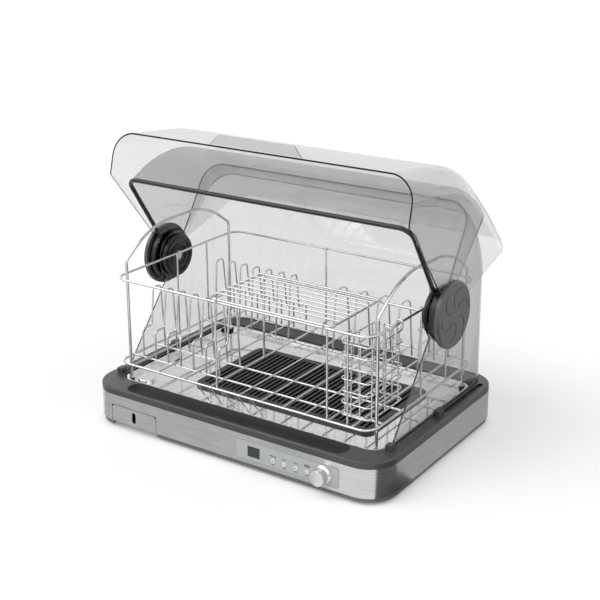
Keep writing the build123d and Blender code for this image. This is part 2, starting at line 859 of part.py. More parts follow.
def make_power_board():
    low = floor_top + standoff_height
    board = block(power_board_x - power_board_width / 2, power_board_x + power_board_width / 2,
                  power_board_y - power_board_depth / 2, power_board_y + power_board_depth / 2,
                  low, low + board_sheet)
    for x, y in standoff_places():
        board -= upright_disc(x, y, screw_radius + screw_fit, low, low + board_sheet)
    high = low + board_sheet
    for size, offset in ((power_coil, -power_part_offset), (power_relay, 0)):
        board += Pos(power_board_x + offset, power_board_y, high + size[2] / 2) * Box(*size)
    return board + upright_disc(power_board_x + power_part_offset, power_board_y, power_can_radius,
                                high, high + power_can_height)


def make_case_screws():
    low = floor_top + standoff_height + board_sheet
    screws = []
    for x, y in standoff_places():
        head = upright_disc(x, y, screw_head_radius, low, low + screw_head_height)
        screws.append(head + upright_disc(x, y, screw_radius, low - screw_length, low))
    return screws


def make_cord_inlet():
    y_back = -front_y
    flange = back_plate(inlet_outline(inlet_flange), y_back + inlet_sheet, inlet_sheet)
    body = back_plate(inlet_outline(-seat_gap), y_back, inlet_body_depth)
    inlet = flange + body
    inlet -= back_plate(inlet_outline(-inlet_wall), y_back + inlet_sheet, inlet_sheet + inlet_body_depth / 2)
    center_z = (shelf_top + band_high) / 2
    for offset in (-inlet_pin_offset, inlet_pin_offset):
        pin = Pos(inlet_x + offset, center_z) * Rectangle(*inlet_pin)
        inlet += back_plate(pin, y_back - inlet_sheet, inlet_body_depth / 2)
    return inlet


# Lid shells
steepest_slant = 0.98
edge_tolerance = 0.01


def swing_open(part):
    return Pos(0, hub_y, hub_z) * Rot(-open_angle, 0, 0) * Pos(0, -hub_y, -hub_z) * part


def side_block(outline, half_width, corner):
    # The outline spread to both sides, with its wall and crown rounded into the side walls
    solid = extrude(Plane.YZ * make_face(outline), amount=half_width, both=True)
    round_edges = [
        edge for edge in solid.edges()
        if abs(abs(edge.center().X) - half_width) < edge_tolerance
        and (edge.geom_type == GeomType.CIRCLE or abs(edge.tangent_at(0.5).Z) > steepest_slant)
    ]
    return fillet(round_edges, corner)


def add_ears(shell, radius, half_width):
    for side in (-1, 1):
        shell += side_disc(side, radius, half_width - lid_sheet, half_width)
    for side in (-1, 1):
        shell -= side_disc(side, pin_radius + pin_fit, half_width - 2 * lid_sheet, half_width + lid_sheet)
    return shell


def visor_outline(inset):
    # The wall leans forward, then a shoulder and a flatter crown lead back; the inner outline runs on
    # past the shell's two open edges
    inward = Vector(cos(radians(visor_wall_lean)), sin(radians(visor_wall_lean)))
    upward = Vector(-inward.Y, inward.X)
    corner = Vector(visor_front_y, visor_low) + inward * inset
    wall_top = corner + upward * visor_wall_length
    overrun = visor_overrun_turn if inset else 0
    shoulder = JernArc(wall_top, upward, visor_shoulder_radius - inset, -visor_shoulder_turn)
    crown = JernArc(shoulder @ 1, shoulder % 1, visor_crown_radius - inset, -visor_crown_turn - overrun)
    if inset:
        corner -= upward * visor_corner
        tail = [(hub_y + visor_ear, hub_z + visor_ear), (hub_y + 3 * visor_ear, corner.Y)]
    else:
        tail = [(hub_y, hub_z), (visor_side_end_y, visor_low)]
    return shoulder + crown + Polyline(crown @ 1, *tail, corner, wall_top)


def make_visor():
    shell = side_block(visor_outline(0), visor_half_width, visor_corner)
    shell -= side_block(visor_outline(lid_sheet), visor_half_width - lid_sheet, visor_corner - lid_sheet)
    return swing_open(add_ears(shell, visor_ear, visor_half_width))


def make_visor_handle():
    near = visor_front_y - handle_sheet * sin(radians(visor_wall_lean))
    far = near - handle_reach
    foot, tip = handle_half_length, handle_half_length - handle_slope
    plan = Polyline((-foot, near), (-tip, far), (tip, far), (foot, near), (-foot, near))
    lip = Pos(0, 0, visor_low) * extrude(make_face(plan), amount=handle_sheet)
    tip_edges = lip.edges().filter_by(Axis.Z).group_by(Axis.Y)[0]
    return swing_open(fillet(tip_edges, handle_tip_round))


def hood_outline(inset):
    radius = hood_radius - inset
    if inset == 0:
        start, end, tip = hood_rear_angle, hood_front_angle, (hub_y, hub_z)
    else:
        start, end = hood_rear_angle - hood_overrun_turn, hood_front_angle + hood_overrun_turn
        tip = polar(-2 * hood_ear, (start + end) / 2)
    crown = CenterArc((hub_y, hub_z), radius, start, end - start)
    return crown + Polyline(crown @ 1, tip, crown @ 0)


def wedge(start, end, reach):
    face = make_face(Polyline((hub_y, hub_z), polar(reach, start), polar(reach, end), (hub_y, hub_z)))
    return extrude(Plane.YZ * face, amount=base_width, both=True)


def make_hood():
    outer = side_block(hood_outline(0), hood_half_width, hood_corner)
    shell = outer - side_block(hood_outline(lid_sheet), hood_half_width - lid_sheet, hood_corner - lid_sheet)
    lip = outer & wedge(hood_rear_angle, hood_rear_angle + hood_lip_angle, 2 * hood_radius)
    lip -= side_block(cover_outline(-seat_gap), cover_half_width + seat_gap, cover_corner + seat_gap)
    lip -= [side_disc(side, hood_ear, 0, hood_half_width) for side in (-1, 1)]
    return add_ears(shell + lip, hood_ear, hood_half_width)


def make_hood_bar():
    # A round bar along the hood's front edge, down both sides as far as the hubs
    x = hood_half_width - lid_sheet / 2
    reach = hood_radius - lid_sheet / 2
    side_turn = radians(hood_front_angle)
    shift = ((bar_radius + weld_gap) * -sin(side_turn), (bar_radius + weld_gap) * cos(side_turn))
    low = spacer_radius + bar_radius

    def along(distance):
        y, z = polar(distance, hood_front_angle)
        return y + shift[0], z + shift[1]

    points = [(-x, *along(low)), (-x, *along(reach)), (x, *along(reach)), (x, *along(low))]
    return bent_wire(points, bar_radius, hood_corner - lid_sheet / 2)


def cover_outline(inset):
    wall_y = cover_back_y - inset
    radius = cover_radius - inset
    if inset == 0:
        top, low = cover_top_angle, cover_low
        tail = [(hub_y, hub_z), (cover_foot_y, low)]
    else:
        top, low = cover_top_angle + cover_overrun_turn, cover_low - cover_overrun
        tail = [(hub_y - 2 * cover_ear, hub_z), (-base_depth, low)]
    crown = CenterArc((hub_y, hub_z), radius, 0, top)
    return crown + Polyline(crown @ 1, *tail, (wall_y, low), crown @ 0)


def make_rear_cover():
    shell = side_block(cover_outline(0), cover_half_width, cover_corner)
    shell -= side_block(cover_outline(lid_sheet), cover_half_width - lid_sheet, cover_corner - lid_sheet)
    return add_ears(shell, cover_ear, cover_half_width)


def make_hub_cover(side):
    near = visor_half_width
    far = near + hub_cover_height
    cover = side_disc(1, hub_cover_radius, near, far)
    cover = chamfer(cover.edges().group_by(Axis.X)[-1], hub_cover_bevel)
    cover -= side_disc(1, pin_radius + seat_gap, near, near + hub_cover_height / 2)
    for index in range(hub_groove_count):
        line = CenterArc((hub_groove_start + hub_groove_radius, 0), hub_groove_radius, 0, hub_groove_turn)
        groove = Rot(0, 0, index * 360 / hub_groove_count) * trace(line, hub_groove_width)
        cover -= extrude(Plane.YZ.offset(far - hub_groove_depth) * Pos(hub_y, hub_z) * groove,
                         amount=hub_groove_depth)
    return cover if side > 0 else mirror(cover, about=Plane.YZ)


def make_pivot_pin(side):
    start = cover_half_width - lid_sheet - inner_hub_height
    return side_disc(side, pin_radius, start, visor_half_width + hub_cover_height / 2 - seat_gap)


def pierced_disc(side, radius, near, far):
    return side_disc(side, radius, near, far) - side_disc(side, pin_radius + pin_fit, near, far)


def make_hub_spacer(side):
    return pierced_disc(side, spacer_radius, hood_half_width, visor_half_width - lid_sheet - seat_gap)


def make_hub_collars():
    far = hood_half_width - lid_sheet
    return [pierced_disc(side, collar_radius, cover_half_width, far) for side in (-1, 1)]


def make_inner_hub(side):
    far = cover_half_width - lid_sheet
    near = far - inner_hub_height
    hub = pierced_disc(side, inner_hub_radius, near, far)
    for radius in inner_ridge_places:
        ridge = side_disc(side, radius, near - inner_ridge, near)
        hub += ridge - side_disc(side, radius - 2 * inner_ridge, near - inner_ridge, near)
    return hub


def make_cover_clips():
    clips = []
    high = rim_top + clip_height
    for side in (-1, 1):
        inner = side * (cover_half_width - lid_sheet - seat_gap)
        outer = side * (cover_half_width + cover_groove_gap)
        clip_back = cover_foot_y - cover_groove_gap
        latch_back = latch_y + latch_length / 2
        for near, back, length in ((inner, clip_back, clip_length), (outer, latch_back, latch_length)):
            far = near + side * clip_width
            clips.append(block(min(near, far), max(near, far), back - length, back, rim_top, high))
    return clips


# Wire rack
def make_arch(side):
    x = side * arch_half_width
    points = [(x, -post_y, rack_post_low), (x, -post_y, arch_shoulder_z), (x, -arch_top_y, arch_top_z),
              (x, arch_top_y, arch_top_z), (x, post_y, arch_shoulder_z), (x, post_y, rack_post_low)]
    bends = [arch_shoulder_bend, arch_top_bend, arch_top_bend, arch_shoulder_bend]
    return bent_wire(points, arch_wire, bends)


def make_rack_feet():
    return [
        upright_disc(x * arch_half_width, y * post_y, rack_foot_radius, tray_floor_top, rack_post_low)
        for x in (-1, 1) for y in (-1, 1)
    ]


def make_rack_ring(z):
    return ring_wire(-side_rail_x, side_rail_x, -rail_half_depth, rail_half_depth, z,
                     rail_wire, rail_corner)


def make_uprights():
    y = rail_half_depth - rail_wire - upright_wire - weld_gap
    low, high = lower_ring_z - rail_wire, upper_rail_z + rail_wire
    places = [(x, s * y) for x in upright_places for s in (-1, 1)]
    places += [(s * side_upright_x, y) for y in side_upright_places for s in (-1, 1)]
    return [rod((x, y, low), (x, y, high), upright_wire) for x, y in places]


def make_side_wires():
    x = side_upright_x - upright_wire - thin_wire - weld_gap
    front, rear = side_upright_places[0] - 2 * upright_wire, side_upright_places[1] + 2 * upright_wire
    heights = [tray_floor_top + height for height in side_wire_heights]
    return [rod((x, front, z), (x, rear, z), thin_wire) for z in heights]


def floor_wire_places():
    right = [right_bay_first_x + i * right_bay_pitch for i in range(right_bay_wires)]
    left = [left_bay_first_x + i * left_bay_pitch for i in range(left_bay_wires)]
    return left + right


def make_floor_wires():
    reach = rail_half_depth + rail_wire
    places = floor_wire_places()
    return [rod((x, -reach, floor_wire_z), (x, reach, floor_wire_z), floor_wire) for x in places]


def make_cross_wires():
    wires = [
        rod((-wire_end_x, y, cross_wire_z), (wire_end_x, y, cross_wire_z), floor_wire)
        for y in (-cross_outer_y, -cross_inner_y, cross_inner_y, cross_outer_y)
    ]
    post_low = floor_wire_z + floor_wire + weld_gap
    rail = [(wire_end_x, shelf_rear_y, upper_rail_z), (bay_split_x, shelf_rear_y, upper_rail_z),
            (bay_split_x, shelf_rear_y, post_low)]
    return wires + [bent_wire(rail, rail_wire, shelf_post_bend)]


def make_plate_dividers():
    dividers = []
    for index in range(divider_count):
        x = divider_first_x + index * divider_pitch
        for s in (-1, 1):
            tread_y = cross_outer_y - divider_tread
            steps = [(cross_outer_y, standing_z), (cross_outer_y, divider_step_z), (tread_y, divider_step_z),
                     (tread_y - divider_lean, divider_top_z), (cross_inner_y + divider_lean, divider_top_z),
                     (cross_inner_y, standing_z)]
            dividers.append(bent_wire([(x, s * y, z) for y, z in steps], divider_wire, divider_bend))
    return dividers


def make_glass_pegs():
    pegs = []
    for index in range(peg_count):
        x = peg_first_x + index * peg_pitch
        steps = [(cross_inner_y, standing_z), (cross_inner_y + peg_lean, peg_top_z),
                 (cross_outer_y - peg_lean, peg_top_z), (cross_outer_y, standing_z)]
        pegs.append(bent_wire([(x, y, z) for y, z in steps], divider_wire, peg_bend))
    return pegs


def make_front_comb():
    top_y = -rail_half_depth + rail_wire + comb_wire + weld_gap
    foot_z = tray_floor_top + comb_wire + weld_gap
    points = []
    for index in range(comb_teeth):
        x = comb_first_x + index * comb_pitch
        points += [(x, top_y, lower_ring_z), (x + comb_pitch / 2, -post_y, foot_z)]
    return bent_wire(points, comb_wire, comb_bend)


def make_cup_shelf():
    frame = ring_wire(shelf_left, shelf_right, -rail_half_depth, shelf_rear_y, shelf_frame_z,
                      shelf_frame_wire, shelf_corner)
    wires = [frame]
    first = -rail_half_depth + shelf_slat_inset
    pitch = (shelf_rear_y - shelf_slat_inset / 2 - first) / (shelf_slats - 1)
    over = shelf_frame_wire
    for index in range(shelf_slats):
        y = first + index * pitch
        ends = [(x, y, shelf_slat_z) for x in (shelf_left - over, shelf_right + over)]
        wires.append(rod(*ends, thin_wire))
    hook_y = -rail_half_depth - rail_wire - thin_wire - weld_gap
    for x in (shelf_left + hook_inset, shelf_right - hook_inset):
        hook = [(x, first - 3 * thin_wire, shelf_slat_z), (x, hook_y, shelf_slat_z),
                (x, hook_y, upper_rail_z - hook_drop)]
        wires.append(bent_wire(hook, thin_wire, hook_bend))
    return wires


def make_cutlery_basket():
    wires = []
    for index in range(basket_loops):
        z = basket_low_z + index * basket_pitch
        wires.append(ring_wire(basket_left, basket_right, basket_front_y, basket_rear_y, z,
                               thin_wire, basket_corner))
    top_z = basket_low_z + (basket_loops - 1) * basket_pitch
    inset = 2 * thin_wire + weld_gap
    left, right = basket_left + inset, basket_right - inset
    front, rear = basket_front_y + inset, basket_rear_y - inset
    middle_y = (front + rear) / 2
    third = (right - left) / 3
    places = [(left, front + basket_corner), (left, middle_y), (left, rear - basket_corner),
              (right, front + basket_corner), (right, middle_y), (right, rear - basket_corner)]
    places += [(left + k * third, y) for k in (1, 2) for y in (front, rear)]
    for x, y in places:
        wires.append(rod((x, y, basket_low_z - thin_wire), (x, y, top_z + thin_wire), thin_wire))
    floor_z = basket_low_z + 2 * thin_wire + weld_gap
    for k in (0.5, 1.5, 2.5):
        x = left + k * third
        wires.append(rod((x, basket_front_y, floor_z), (x, basket_rear_y, floor_z), thin_wire))
    over_z = upper_rail_z + rail_wire + thin_wire + weld_gap
    over_x = side_rail_x + rail_wire + thin_wire + weld_gap
    inner_x = basket_right + inset
    for offset in basket_hook_offsets:
        y = basket_front_y + offset
        hook = [(inner_x, y, top_z - basket_pitch), (inner_x, y, over_z), (over_x, y, over_z),
                (over_x, y, upper_rail_z - hook_drop)]
        wires.append(bent_wire(hook, thin_wire, hook_bend))
    return wires


single_pieces = {
    "bottom_pan": make_bottom_pan,
    "steel_band": make_steel_band,
    "top_rim": make_top_rim,
    "drip_tray": make_drip_tray,
    "drain_plug": make_drain_plug,
    "air_grille": make_air_grille,
    "drawer_front": make_drawer_front,
    "drawer_box": make_drawer_box,
    "control_panel": make_control_panel,
    "display_window": make_display_window,
    "knob": make_knob,
    "knob_shaft": make_knob_shaft,
    "knob_encoder": make_knob_encoder,
    "control_board": make_control_board,
    "power_board": make_power_board,
    "fan_housing": make_fan_housing,
    "fan_motor": make_fan_motor,
    "fan_shaft": make_fan_shaft,
    "fan_wheel": make_fan_wheel,
    "heater_frame": make_heater_frame,
    "heater_fins": make_heater_fins,
    "air_duct": make_air_duct,
    "intake_filter": make_intake_filter,
    "cord_inlet": make_cord_inlet,
    "visor_shell": make_visor,
    "visor_handle": make_visor_handle,
    "hood": make_hood,
    "hood_front_bar": make_hood_bar,
    "rear_cover": make_rear_cover,
    "front_comb": make_front_comb,
}
grouped_pieces = {
    "rubber_feet": make_feet,
    "drawer_runners": make_drawer_runners,
    "case_screws": make_case_screws,
    "cover_clips": make_cover_clips,
    "rack_feet": make_rack_feet,
    "hub_collars": make_hub_collars,
    "rack_uprights": make_uprights,
    "side_wires": make_side_wires,
    "rack_floor_wires": make_floor_wires,
    "rack_cross_wires": make_cross_wires,
    "plate_dividers": make_plate_dividers,
    "glass_pegs": make_glass_pegs,
    "cup_shelf": make_cup_shelf,
    "cutlery_basket": make_cutlery_basket,
}
sided_pieces = {
    "hub_cover": make_hub_cover,
    "pivot_pin": make_pivot_pin,
    "hub_spacer": make_hub_spacer,
    "inner_hub": make_inner_hub,
    "rack_arch": make_arch,
}

nodes = {name: make() for name, make in single_pieces.items()}
nodes |= {name: group(make()) for name, make in grouped_pieces.items()}
for name, make in sided_pieces.items():
    nodes |= {f"{name}_left": make(-1), f"{name}_right": make(1)}
nodes |= {f"button_{index + 1}": make_button(index) for index in range(button_count)}
nodes["rack_upper_rail"] = make_rack_ring(upper_rail_z)
nodes["rack_lower_ring"] = make_rack_ring(lower_ring_z)

os.makedirs("parts", exist_ok=True)
for name, shape in nodes.items():
    export_step(shape, f"parts/{name}.step")
print(len(nodes), "nodes written")
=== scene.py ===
# %% [markdown]
# This lesson dresses a dish dryer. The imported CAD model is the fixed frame: every piece stays where it is,
# and Blender adds the finish, the light and the small things that only the eye needs.

# %% Load the frame
import json
import random
from math import pi, radians

import bmesh
import bpy
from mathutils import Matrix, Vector
from mathutils.bvhtree import BVHTree
from mathutils.geometry import intersect_ray_tri


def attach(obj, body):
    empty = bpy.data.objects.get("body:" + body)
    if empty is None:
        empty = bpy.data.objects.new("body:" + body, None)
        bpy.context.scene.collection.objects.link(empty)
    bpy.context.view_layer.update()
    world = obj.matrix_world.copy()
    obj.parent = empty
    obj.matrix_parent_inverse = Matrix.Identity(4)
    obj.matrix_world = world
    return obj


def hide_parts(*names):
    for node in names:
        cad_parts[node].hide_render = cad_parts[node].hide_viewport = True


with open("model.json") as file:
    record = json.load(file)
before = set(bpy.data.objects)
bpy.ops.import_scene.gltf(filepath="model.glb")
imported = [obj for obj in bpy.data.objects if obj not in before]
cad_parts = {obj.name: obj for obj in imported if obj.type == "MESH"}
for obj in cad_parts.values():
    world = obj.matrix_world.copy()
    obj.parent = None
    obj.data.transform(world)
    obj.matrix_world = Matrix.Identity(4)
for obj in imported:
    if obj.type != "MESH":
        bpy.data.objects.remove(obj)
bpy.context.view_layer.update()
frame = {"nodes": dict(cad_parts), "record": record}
scene = bpy.context.scene

# %% [markdown]
# The camera stands to the front right and looks a little down, as in the photograph. Two angles turn it, so
# the numbers stay readable. A small lens shift sets the object in the picture where the photograph has it.

# %% Camera
camera_place = (1.040, -1.511, 0.871)
camera_turn = radians(33.47)
camera_drop = radians(17.12)
camera_lens = 73.04
camera_shift = (-0.0267, -0.1)

camera_data = bpy.data.cameras.new("camera")
camera_data.lens = camera_lens
camera_data.shift_x, camera_data.shift_y = camera_shift
camera = bpy.data.objects.new("camera", camera_data)
camera.location = camera_place
camera.rotation_euler = (pi / 2 - camera_drop, 0, camera_turn)
scene.collection.objects.link(camera)
scene.camera = camera
print("camera at", camera_place)

# %% [markdown]
# A see-through lid is seen through several walls at once, and each wall is an outer and an inner face. A
# light path that stops too early turns those places black, so the paths are allowed to be long.

# %% Light paths and view
scene.view_settings.view_transform = "Standard"
scene.cycles.max_bounces = 32
scene.cycles.transmission_bounces = 28
scene.cycles.glossy_bounces = 8
scene.cycles.transparent_max_bounces = 32
print("bounces", scene.cycles.max_bounces)

# %% [markdown]
# Every tree of nodes below is built by the same few moves: add a node, set it up, link it. Small helpers
# keep each move to one line. The last one tells the rays that look at the studio from those that only carry
# light.

# %% Helpers for node trees


def link(tree, source, target):
    tree.links.new(source, target)


def add(tree, kind, place=(0, 0), **settings):
    node = tree.nodes.new(kind)
    node.location = place
    for name, value in settings.items():
        setattr(node, name, value)
    return node


def grey(level):
    return level, level, level, 1


def sees_white(tree):
    # One where a ray comes from the camera, from gloss or through glass
    path = add(tree, "ShaderNodeLightPath", (-900, 300))
    first = add(tree, "ShaderNodeMath", (-700, 300), operation="MAXIMUM")
    link(tree, path.outputs["Is Camera Ray"], first.inputs[0])
    link(tree, path.outputs["Is Glossy Ray"], first.inputs[1])
    both = add(tree, "ShaderNodeMath", (-520, 300), operation="MAXIMUM")
    link(tree, first.outputs[0], both.inputs[0])
    link(tree, path.outputs["Is Transmission Ray"], both.inputs[1])
    return both.outputs[0]


print("helpers ready")

# %% [markdown]
# The studio is a white room. At full strength it would wash out every shadow, so the world lights the
# object softly, and only rays from the camera, from gloss and through glass see it at full white.

# %% World
world_fill = 0.62
full_white = 1.0
world = bpy.data.worlds.new("studio")
world.use_nodes = True
scene.world = world
tree = world.node_tree
tree.nodes.clear()
soft = add(tree, "ShaderNodeBackground", (-200, 120))
white = add(tree, "ShaderNodeBackground", (-200, -40))
for background, strength in ((soft, world_fill), (white, full_white)):
    background.inputs["Color"].default_value = grey(full_white)
    background.inputs["Strength"].default_value = strength
mix = add(tree, "ShaderNodeMixShader", (40, 60))
out = add(tree, "ShaderNodeOutputWorld", (240, 60))
link(tree, sees_white(tree), mix.inputs[0])
link(tree, soft.outputs[0], mix.inputs[1])
link(tree, white.outputs[0], mix.inputs[2])
link(tree, mix.outputs[0], out.inputs["Surface"])
print("world fill", world_fill)

# %% [markdown]
# The object stands on a white table whose edge is never seen. A matt floor alone comes out grey, so it also
# glows a little for the rays that see the world at full white, and still keeps the object's shadow.

# %% Floor
floor_half = 40.0
floor_drop = 0.0002
floor_tone = 0.86
floor_glow = 0.21


def level_sheet(name, places, height):
    mesh = bpy.data.meshes.new(name)
    mesh.from_pydata([(x, y, height) for x, y in places], [], [(0, 1, 2, 3)])
    sheet = bpy.data.objects.new(name, mesh)
    scene.collection.objects.link(sheet)
    return sheet


def bare_material(name):
    material = bpy.data.materials.new(name)
    material.use_nodes = True
    material.node_tree.nodes.clear()
    return material


corners = [(x * floor_half, y * floor_half) for x, y in ((-1, -1), (1, -1), (1, 1), (-1, 1))]
floor = level_sheet("studio_floor", corners, -floor_drop)
floor_finish = bare_material("studio_floor")
tree = floor_finish.node_tree
matt = add(tree, "ShaderNodeBsdfDiffuse", (-300, 120))
matt.inputs["Color"].default_value = grey(floor_tone)
glow = add(tree, "ShaderNodeEmission", (-300, -60))
glow.inputs["Color"].default_value = grey(floor_glow)
link(tree, sees_white(tree), glow.inputs["Strength"])
both = add(tree, "ShaderNodeAddShader", (-60, 60))
out = add(tree, "ShaderNodeOutputMaterial", (140, 60))
link(tree, matt.outputs[0], both.inputs[0])
link(tree, glow.outputs[0], both.inputs[1])
link(tree, both.outputs[0], out.inputs["Surface"])
floor.data.materials.append(floor_finish)
print("floor", 2 * floor_half, "m")

# %% [markdown]
# Two wide suns take the place of soft boxes. A sun has a direction and no place, so it lights every piece
# alike, and its width in degrees sets how soft the shadow is. The second one only lifts the dark side.

# %% Lamps


def soft_sun(name, toward, spread, strength):
    data = bpy.data.lights.new(name, "SUN")
    data.angle = radians(spread)
    data.energy = strength
    lamp = bpy.data.objects.new(name, data)
    lamp.rotation_euler = Vector(toward).to_track_quat("-Z", "Y").to_euler()
    scene.collection.objects.link(lamp)
    return lamp


key_lamp = soft_sun("key_lamp", toward=(0.55, 0.6, -1.0), spread=50, strength=1.1)
fill_lamp = soft_sun("fill_lamp", toward=(-0.5, 0.2, -0.8), spread=70, strength=0.35)
print("lamps", key_lamp.name, fill_lamp.name)

# %% [markdown]
# Polished metal in an all-white room looks like grey paint. A photographer lays dark cards round the
# object, out of the picture, so that its corners get dark and bright lines to show. Upright walls seen from
# above mirror the table before them, so the cards lie on the floor. They show in reflections only and throw
# no shadow. The black card and the grey one beside it meet along one seam.

# %% Dark cards for the reflections
card_lift = 0.0004
seam_near, seam_far = (0.20, -0.11), (1.5, 0.35)


def floor_card(name, places, level):
    card = level_sheet(name, places, card_lift)
    card.visible_camera = card.visible_diffuse = card.visible_transmission = card.visible_shadow = False
    finish = bare_material(name)
    tree = finish.node_tree
    glow = add(tree, "ShaderNodeEmission", (-200, 0))
    glow.inputs["Color"].default_value = grey(level)
    out = add(tree, "ShaderNodeOutputMaterial", (0, 0))
    link(tree, glow.outputs[0], out.inputs["Surface"])
    card.data.materials.append(finish)
    return card


right_places = [(0.20, -0.14), (1.5, -1.00), seam_far, seam_near]
side_places = [seam_near, seam_far, (1.5, 2.5), (0.20, 0.30)]
front_places = [(-0.40, -0.17), (0.20, -0.17), (-0.62, -1.4), (-2.0, -1.2)]
right_card = floor_card("right_card", right_places, level=0.01)
side_card = floor_card("side_card", side_places, level=0.45)
front_card = floor_card("front_card", front_places, level=0.58)
print("cards", right_card.name, side_card.name, front_card.name)

# %% [markdown]
# Several finishes share the same small effects: a fine moulded grain, brush lines and faint smudges. Each
# is a node group that puts out one mask between 0 and 1, and every material takes it with its own values.

# %% Helpers for shader groups
mask_middle = 0.5


def new_group(name, inputs, outputs):
    group = bpy.data.node_groups.new(name, "ShaderNodeTree")
    for label, value in inputs.items():
        socket = group.interface.new_socket(label, in_out="INPUT", socket_type="NodeSocketFloat")
        socket.default_value = value
    for label in outputs:
        group.interface.new_socket(label, in_out="OUTPUT", socket_type="NodeSocketFloat")
    return group, add(group, "NodeGroupInput", (-900, 0)), add(group, "NodeGroupOutput", (500, 0))


def object_coords(tree):
    return add(tree, "ShaderNodeTexCoord", (-900, -300)).outputs["Object"]


def with_contrast(group, value, contrast):
    # Spreads a value away from the middle and keeps it between 0 and 1
    centred = add(group, "ShaderNodeMath", (-150, 0), operation="SUBTRACT")
    centred.inputs[1].default_value = mask_middle
    link(group, value, centred.inputs[0])
    spread = add(group, "ShaderNodeMath", (30, 0), operation="MULTIPLY_ADD", use_clamp=True)
    spread.inputs[2].default_value = mask_middle
    link(group, centred.outputs[0], spread.inputs[0])
    link(group, contrast, spread.inputs[1])
    return spread.outputs[0]


print("group helpers ready")

# %% [markdown]
# Moulded plastic and plated metal both have a fine, even grain. Noise gives it without any picture file,
# and a contrast input lets each finish take it soft or hard.

# %% Moulded grain


def make_grain_group():
    group, source, sink = new_group("moulded_grain", {"Scale": 900.0, "Contrast": 1.0}, ["Mask"])
    noise = add(group, "ShaderNodeTexNoise", (-340, 0))
    noise.inputs["Detail"].default_value = 3.0
    link(group, object_coords(group), noise.inputs["Vector"])
    link(group, source.outputs["Scale"], noise.inputs["Scale"])
    mask = with_contrast(group, noise.outputs["Fac"], source.outputs["Contrast"])
    link(group, mask, sink.inputs["Mask"])
    return group


grain_group = make_grain_group()
print("group", grain_group.name)

# %% [markdown]
# Brushing leaves long level scratches. A picture of scratches would need a map round every corner. Noise
# that is squeezed along Z draws level lines all the way round the object by itself.

# %% Brush lines


def make_brush_group():
    inputs = {"Along": 5.0, "Across": 1400.0, "Contrast": 1.4}
    group, source, sink = new_group("brush_lines", inputs, ["Mask"])
    scale = add(group, "ShaderNodeCombineXYZ", (-700, 150))
    for axis, label in (("X", "Along"), ("Y", "Along"), ("Z", "Across")):
        link(group, source.outputs[label], scale.inputs[axis])
    stretched = add(group, "ShaderNodeVectorMath", (-520, 0), operation="MULTIPLY")
    link(group, object_coords(group), stretched.inputs[0])
    link(group, scale.outputs[0], stretched.inputs[1])
    noise = add(group, "ShaderNodeTexNoise", (-340, 0))
    noise.inputs["Scale"].default_value = 1.0
    noise.inputs["Detail"].default_value = 4.0
    link(group, stretched.outputs[0], noise.inputs["Vector"])
    mask = with_contrast(group, noise.outputs["Fac"], source.outputs["Contrast"])
    link(group, mask, sink.inputs["Mask"])
    return group


brush_group = make_brush_group()
print("group", brush_group.name)

# %% [markdown]
# Hands leave faint smudges that change the gloss more than the colour. Coarse bent noise is cut off below
# one level, so the smudges stand apart with clean surface between them.

# %% Faint smudges
smudge_from, smudge_full = 0.45, 0.75


def make_smudge_group():
    group, source, sink = new_group("faint_smudges", {"Scale": 9.0, "Amount": 0.6}, ["Mask"])
    noise = add(group, "ShaderNodeTexNoise", (-600, 0))
    noise.inputs["Detail"].default_value = 6.0
    noise.inputs["Distortion"].default_value = 0.8
    link(group, object_coords(group), noise.inputs["Vector"])
    link(group, source.outputs["Scale"], noise.inputs["Scale"])
    ramp = add(group, "ShaderNodeValToRGB", (-400, 0))
    for stop, position in zip(ramp.color_ramp.elements, (smudge_from, smudge_full)):
        stop.position = position
    link(group, noise.outputs["Fac"], ramp.inputs["Fac"])
    part = add(group, "ShaderNodeMath", (-100, 0), operation="MULTIPLY")
    link(group, ramp.outputs["Color"], part.inputs[0])
    link(group, source.outputs["Amount"], part.inputs[1])
    link(group, part.outputs[0], sink.inputs["Mask"])
    return group


smudge_group = make_smudge_group()
print("group", smudge_group.name)

# %% [markdown]
# A finish is one Principled shader. Its colour runs between two close tones and its roughness between two
# values, each by a mask, so no surface is one flat colour. A small bump takes the mask of the tones.

# %% Material helpers


def start_material(name):
    material = bpy.data.materials.new(name)
    material.use_nodes = True
    tree = material.node_tree
    shader = tree.nodes["Principled BSDF"]
    return material, tree, shader


def place_group(tree, group, place, **values):
    node = add(tree, "ShaderNodeGroup", place, node_tree=group)
    for label, value in values.items():
        node.inputs[label].default_value = value
    return node.outputs["Mask"]


def set_tones(tree, shader, mask, dark, light):
    mix = add(tree, "ShaderNodeMix", (-450, 200), data_type="RGBA")
    mix.inputs["A"].default_value = (*dark, 1)
    mix.inputs["B"].default_value = (*light, 1)
    link(tree, mask, mix.inputs["Factor"])
    link(tree, mix.outputs["Result"], shader.inputs["Base Color"])


def set_close_tones(tree, shader, mask, colour, lift):
    dark = [c * (1 - lift) for c in colour]
    light = [min(1, c * (1 + lift)) for c in colour]
    set_tones(tree, shader, mask, dark, light)


def set_roughness(tree, shader, mask, low, high):
    spread = add(tree, "ShaderNodeMapRange", (-450, -20))
    spread.inputs["To Min"].default_value = low
    spread.inputs["To Max"].default_value = high
    link(tree, mask, spread.inputs["Value"])
    link(tree, spread.outputs["Result"], shader.inputs["Roughness"])


def set_relief(tree, shader, mask, strength, depth):
    node = add(tree, "ShaderNodeBump", (-220, -320))
    node.inputs["Strength"].default_value = strength
    node.inputs["Distance"].default_value = depth
    link(tree, mask, node.inputs["Height"])
    link(tree, node.outputs["Normal"], shader.inputs["Normal"])


print("material helpers ready")

# %% [markdown]
# Most pieces are moulded plastic or bright metal. One function for each keeps the finishes below to a line:
# plastic has a fine grain, metal a broader cloud, as on plated wire and turned steel.

# %% Plastic and metal
plain_gloss = 0.5


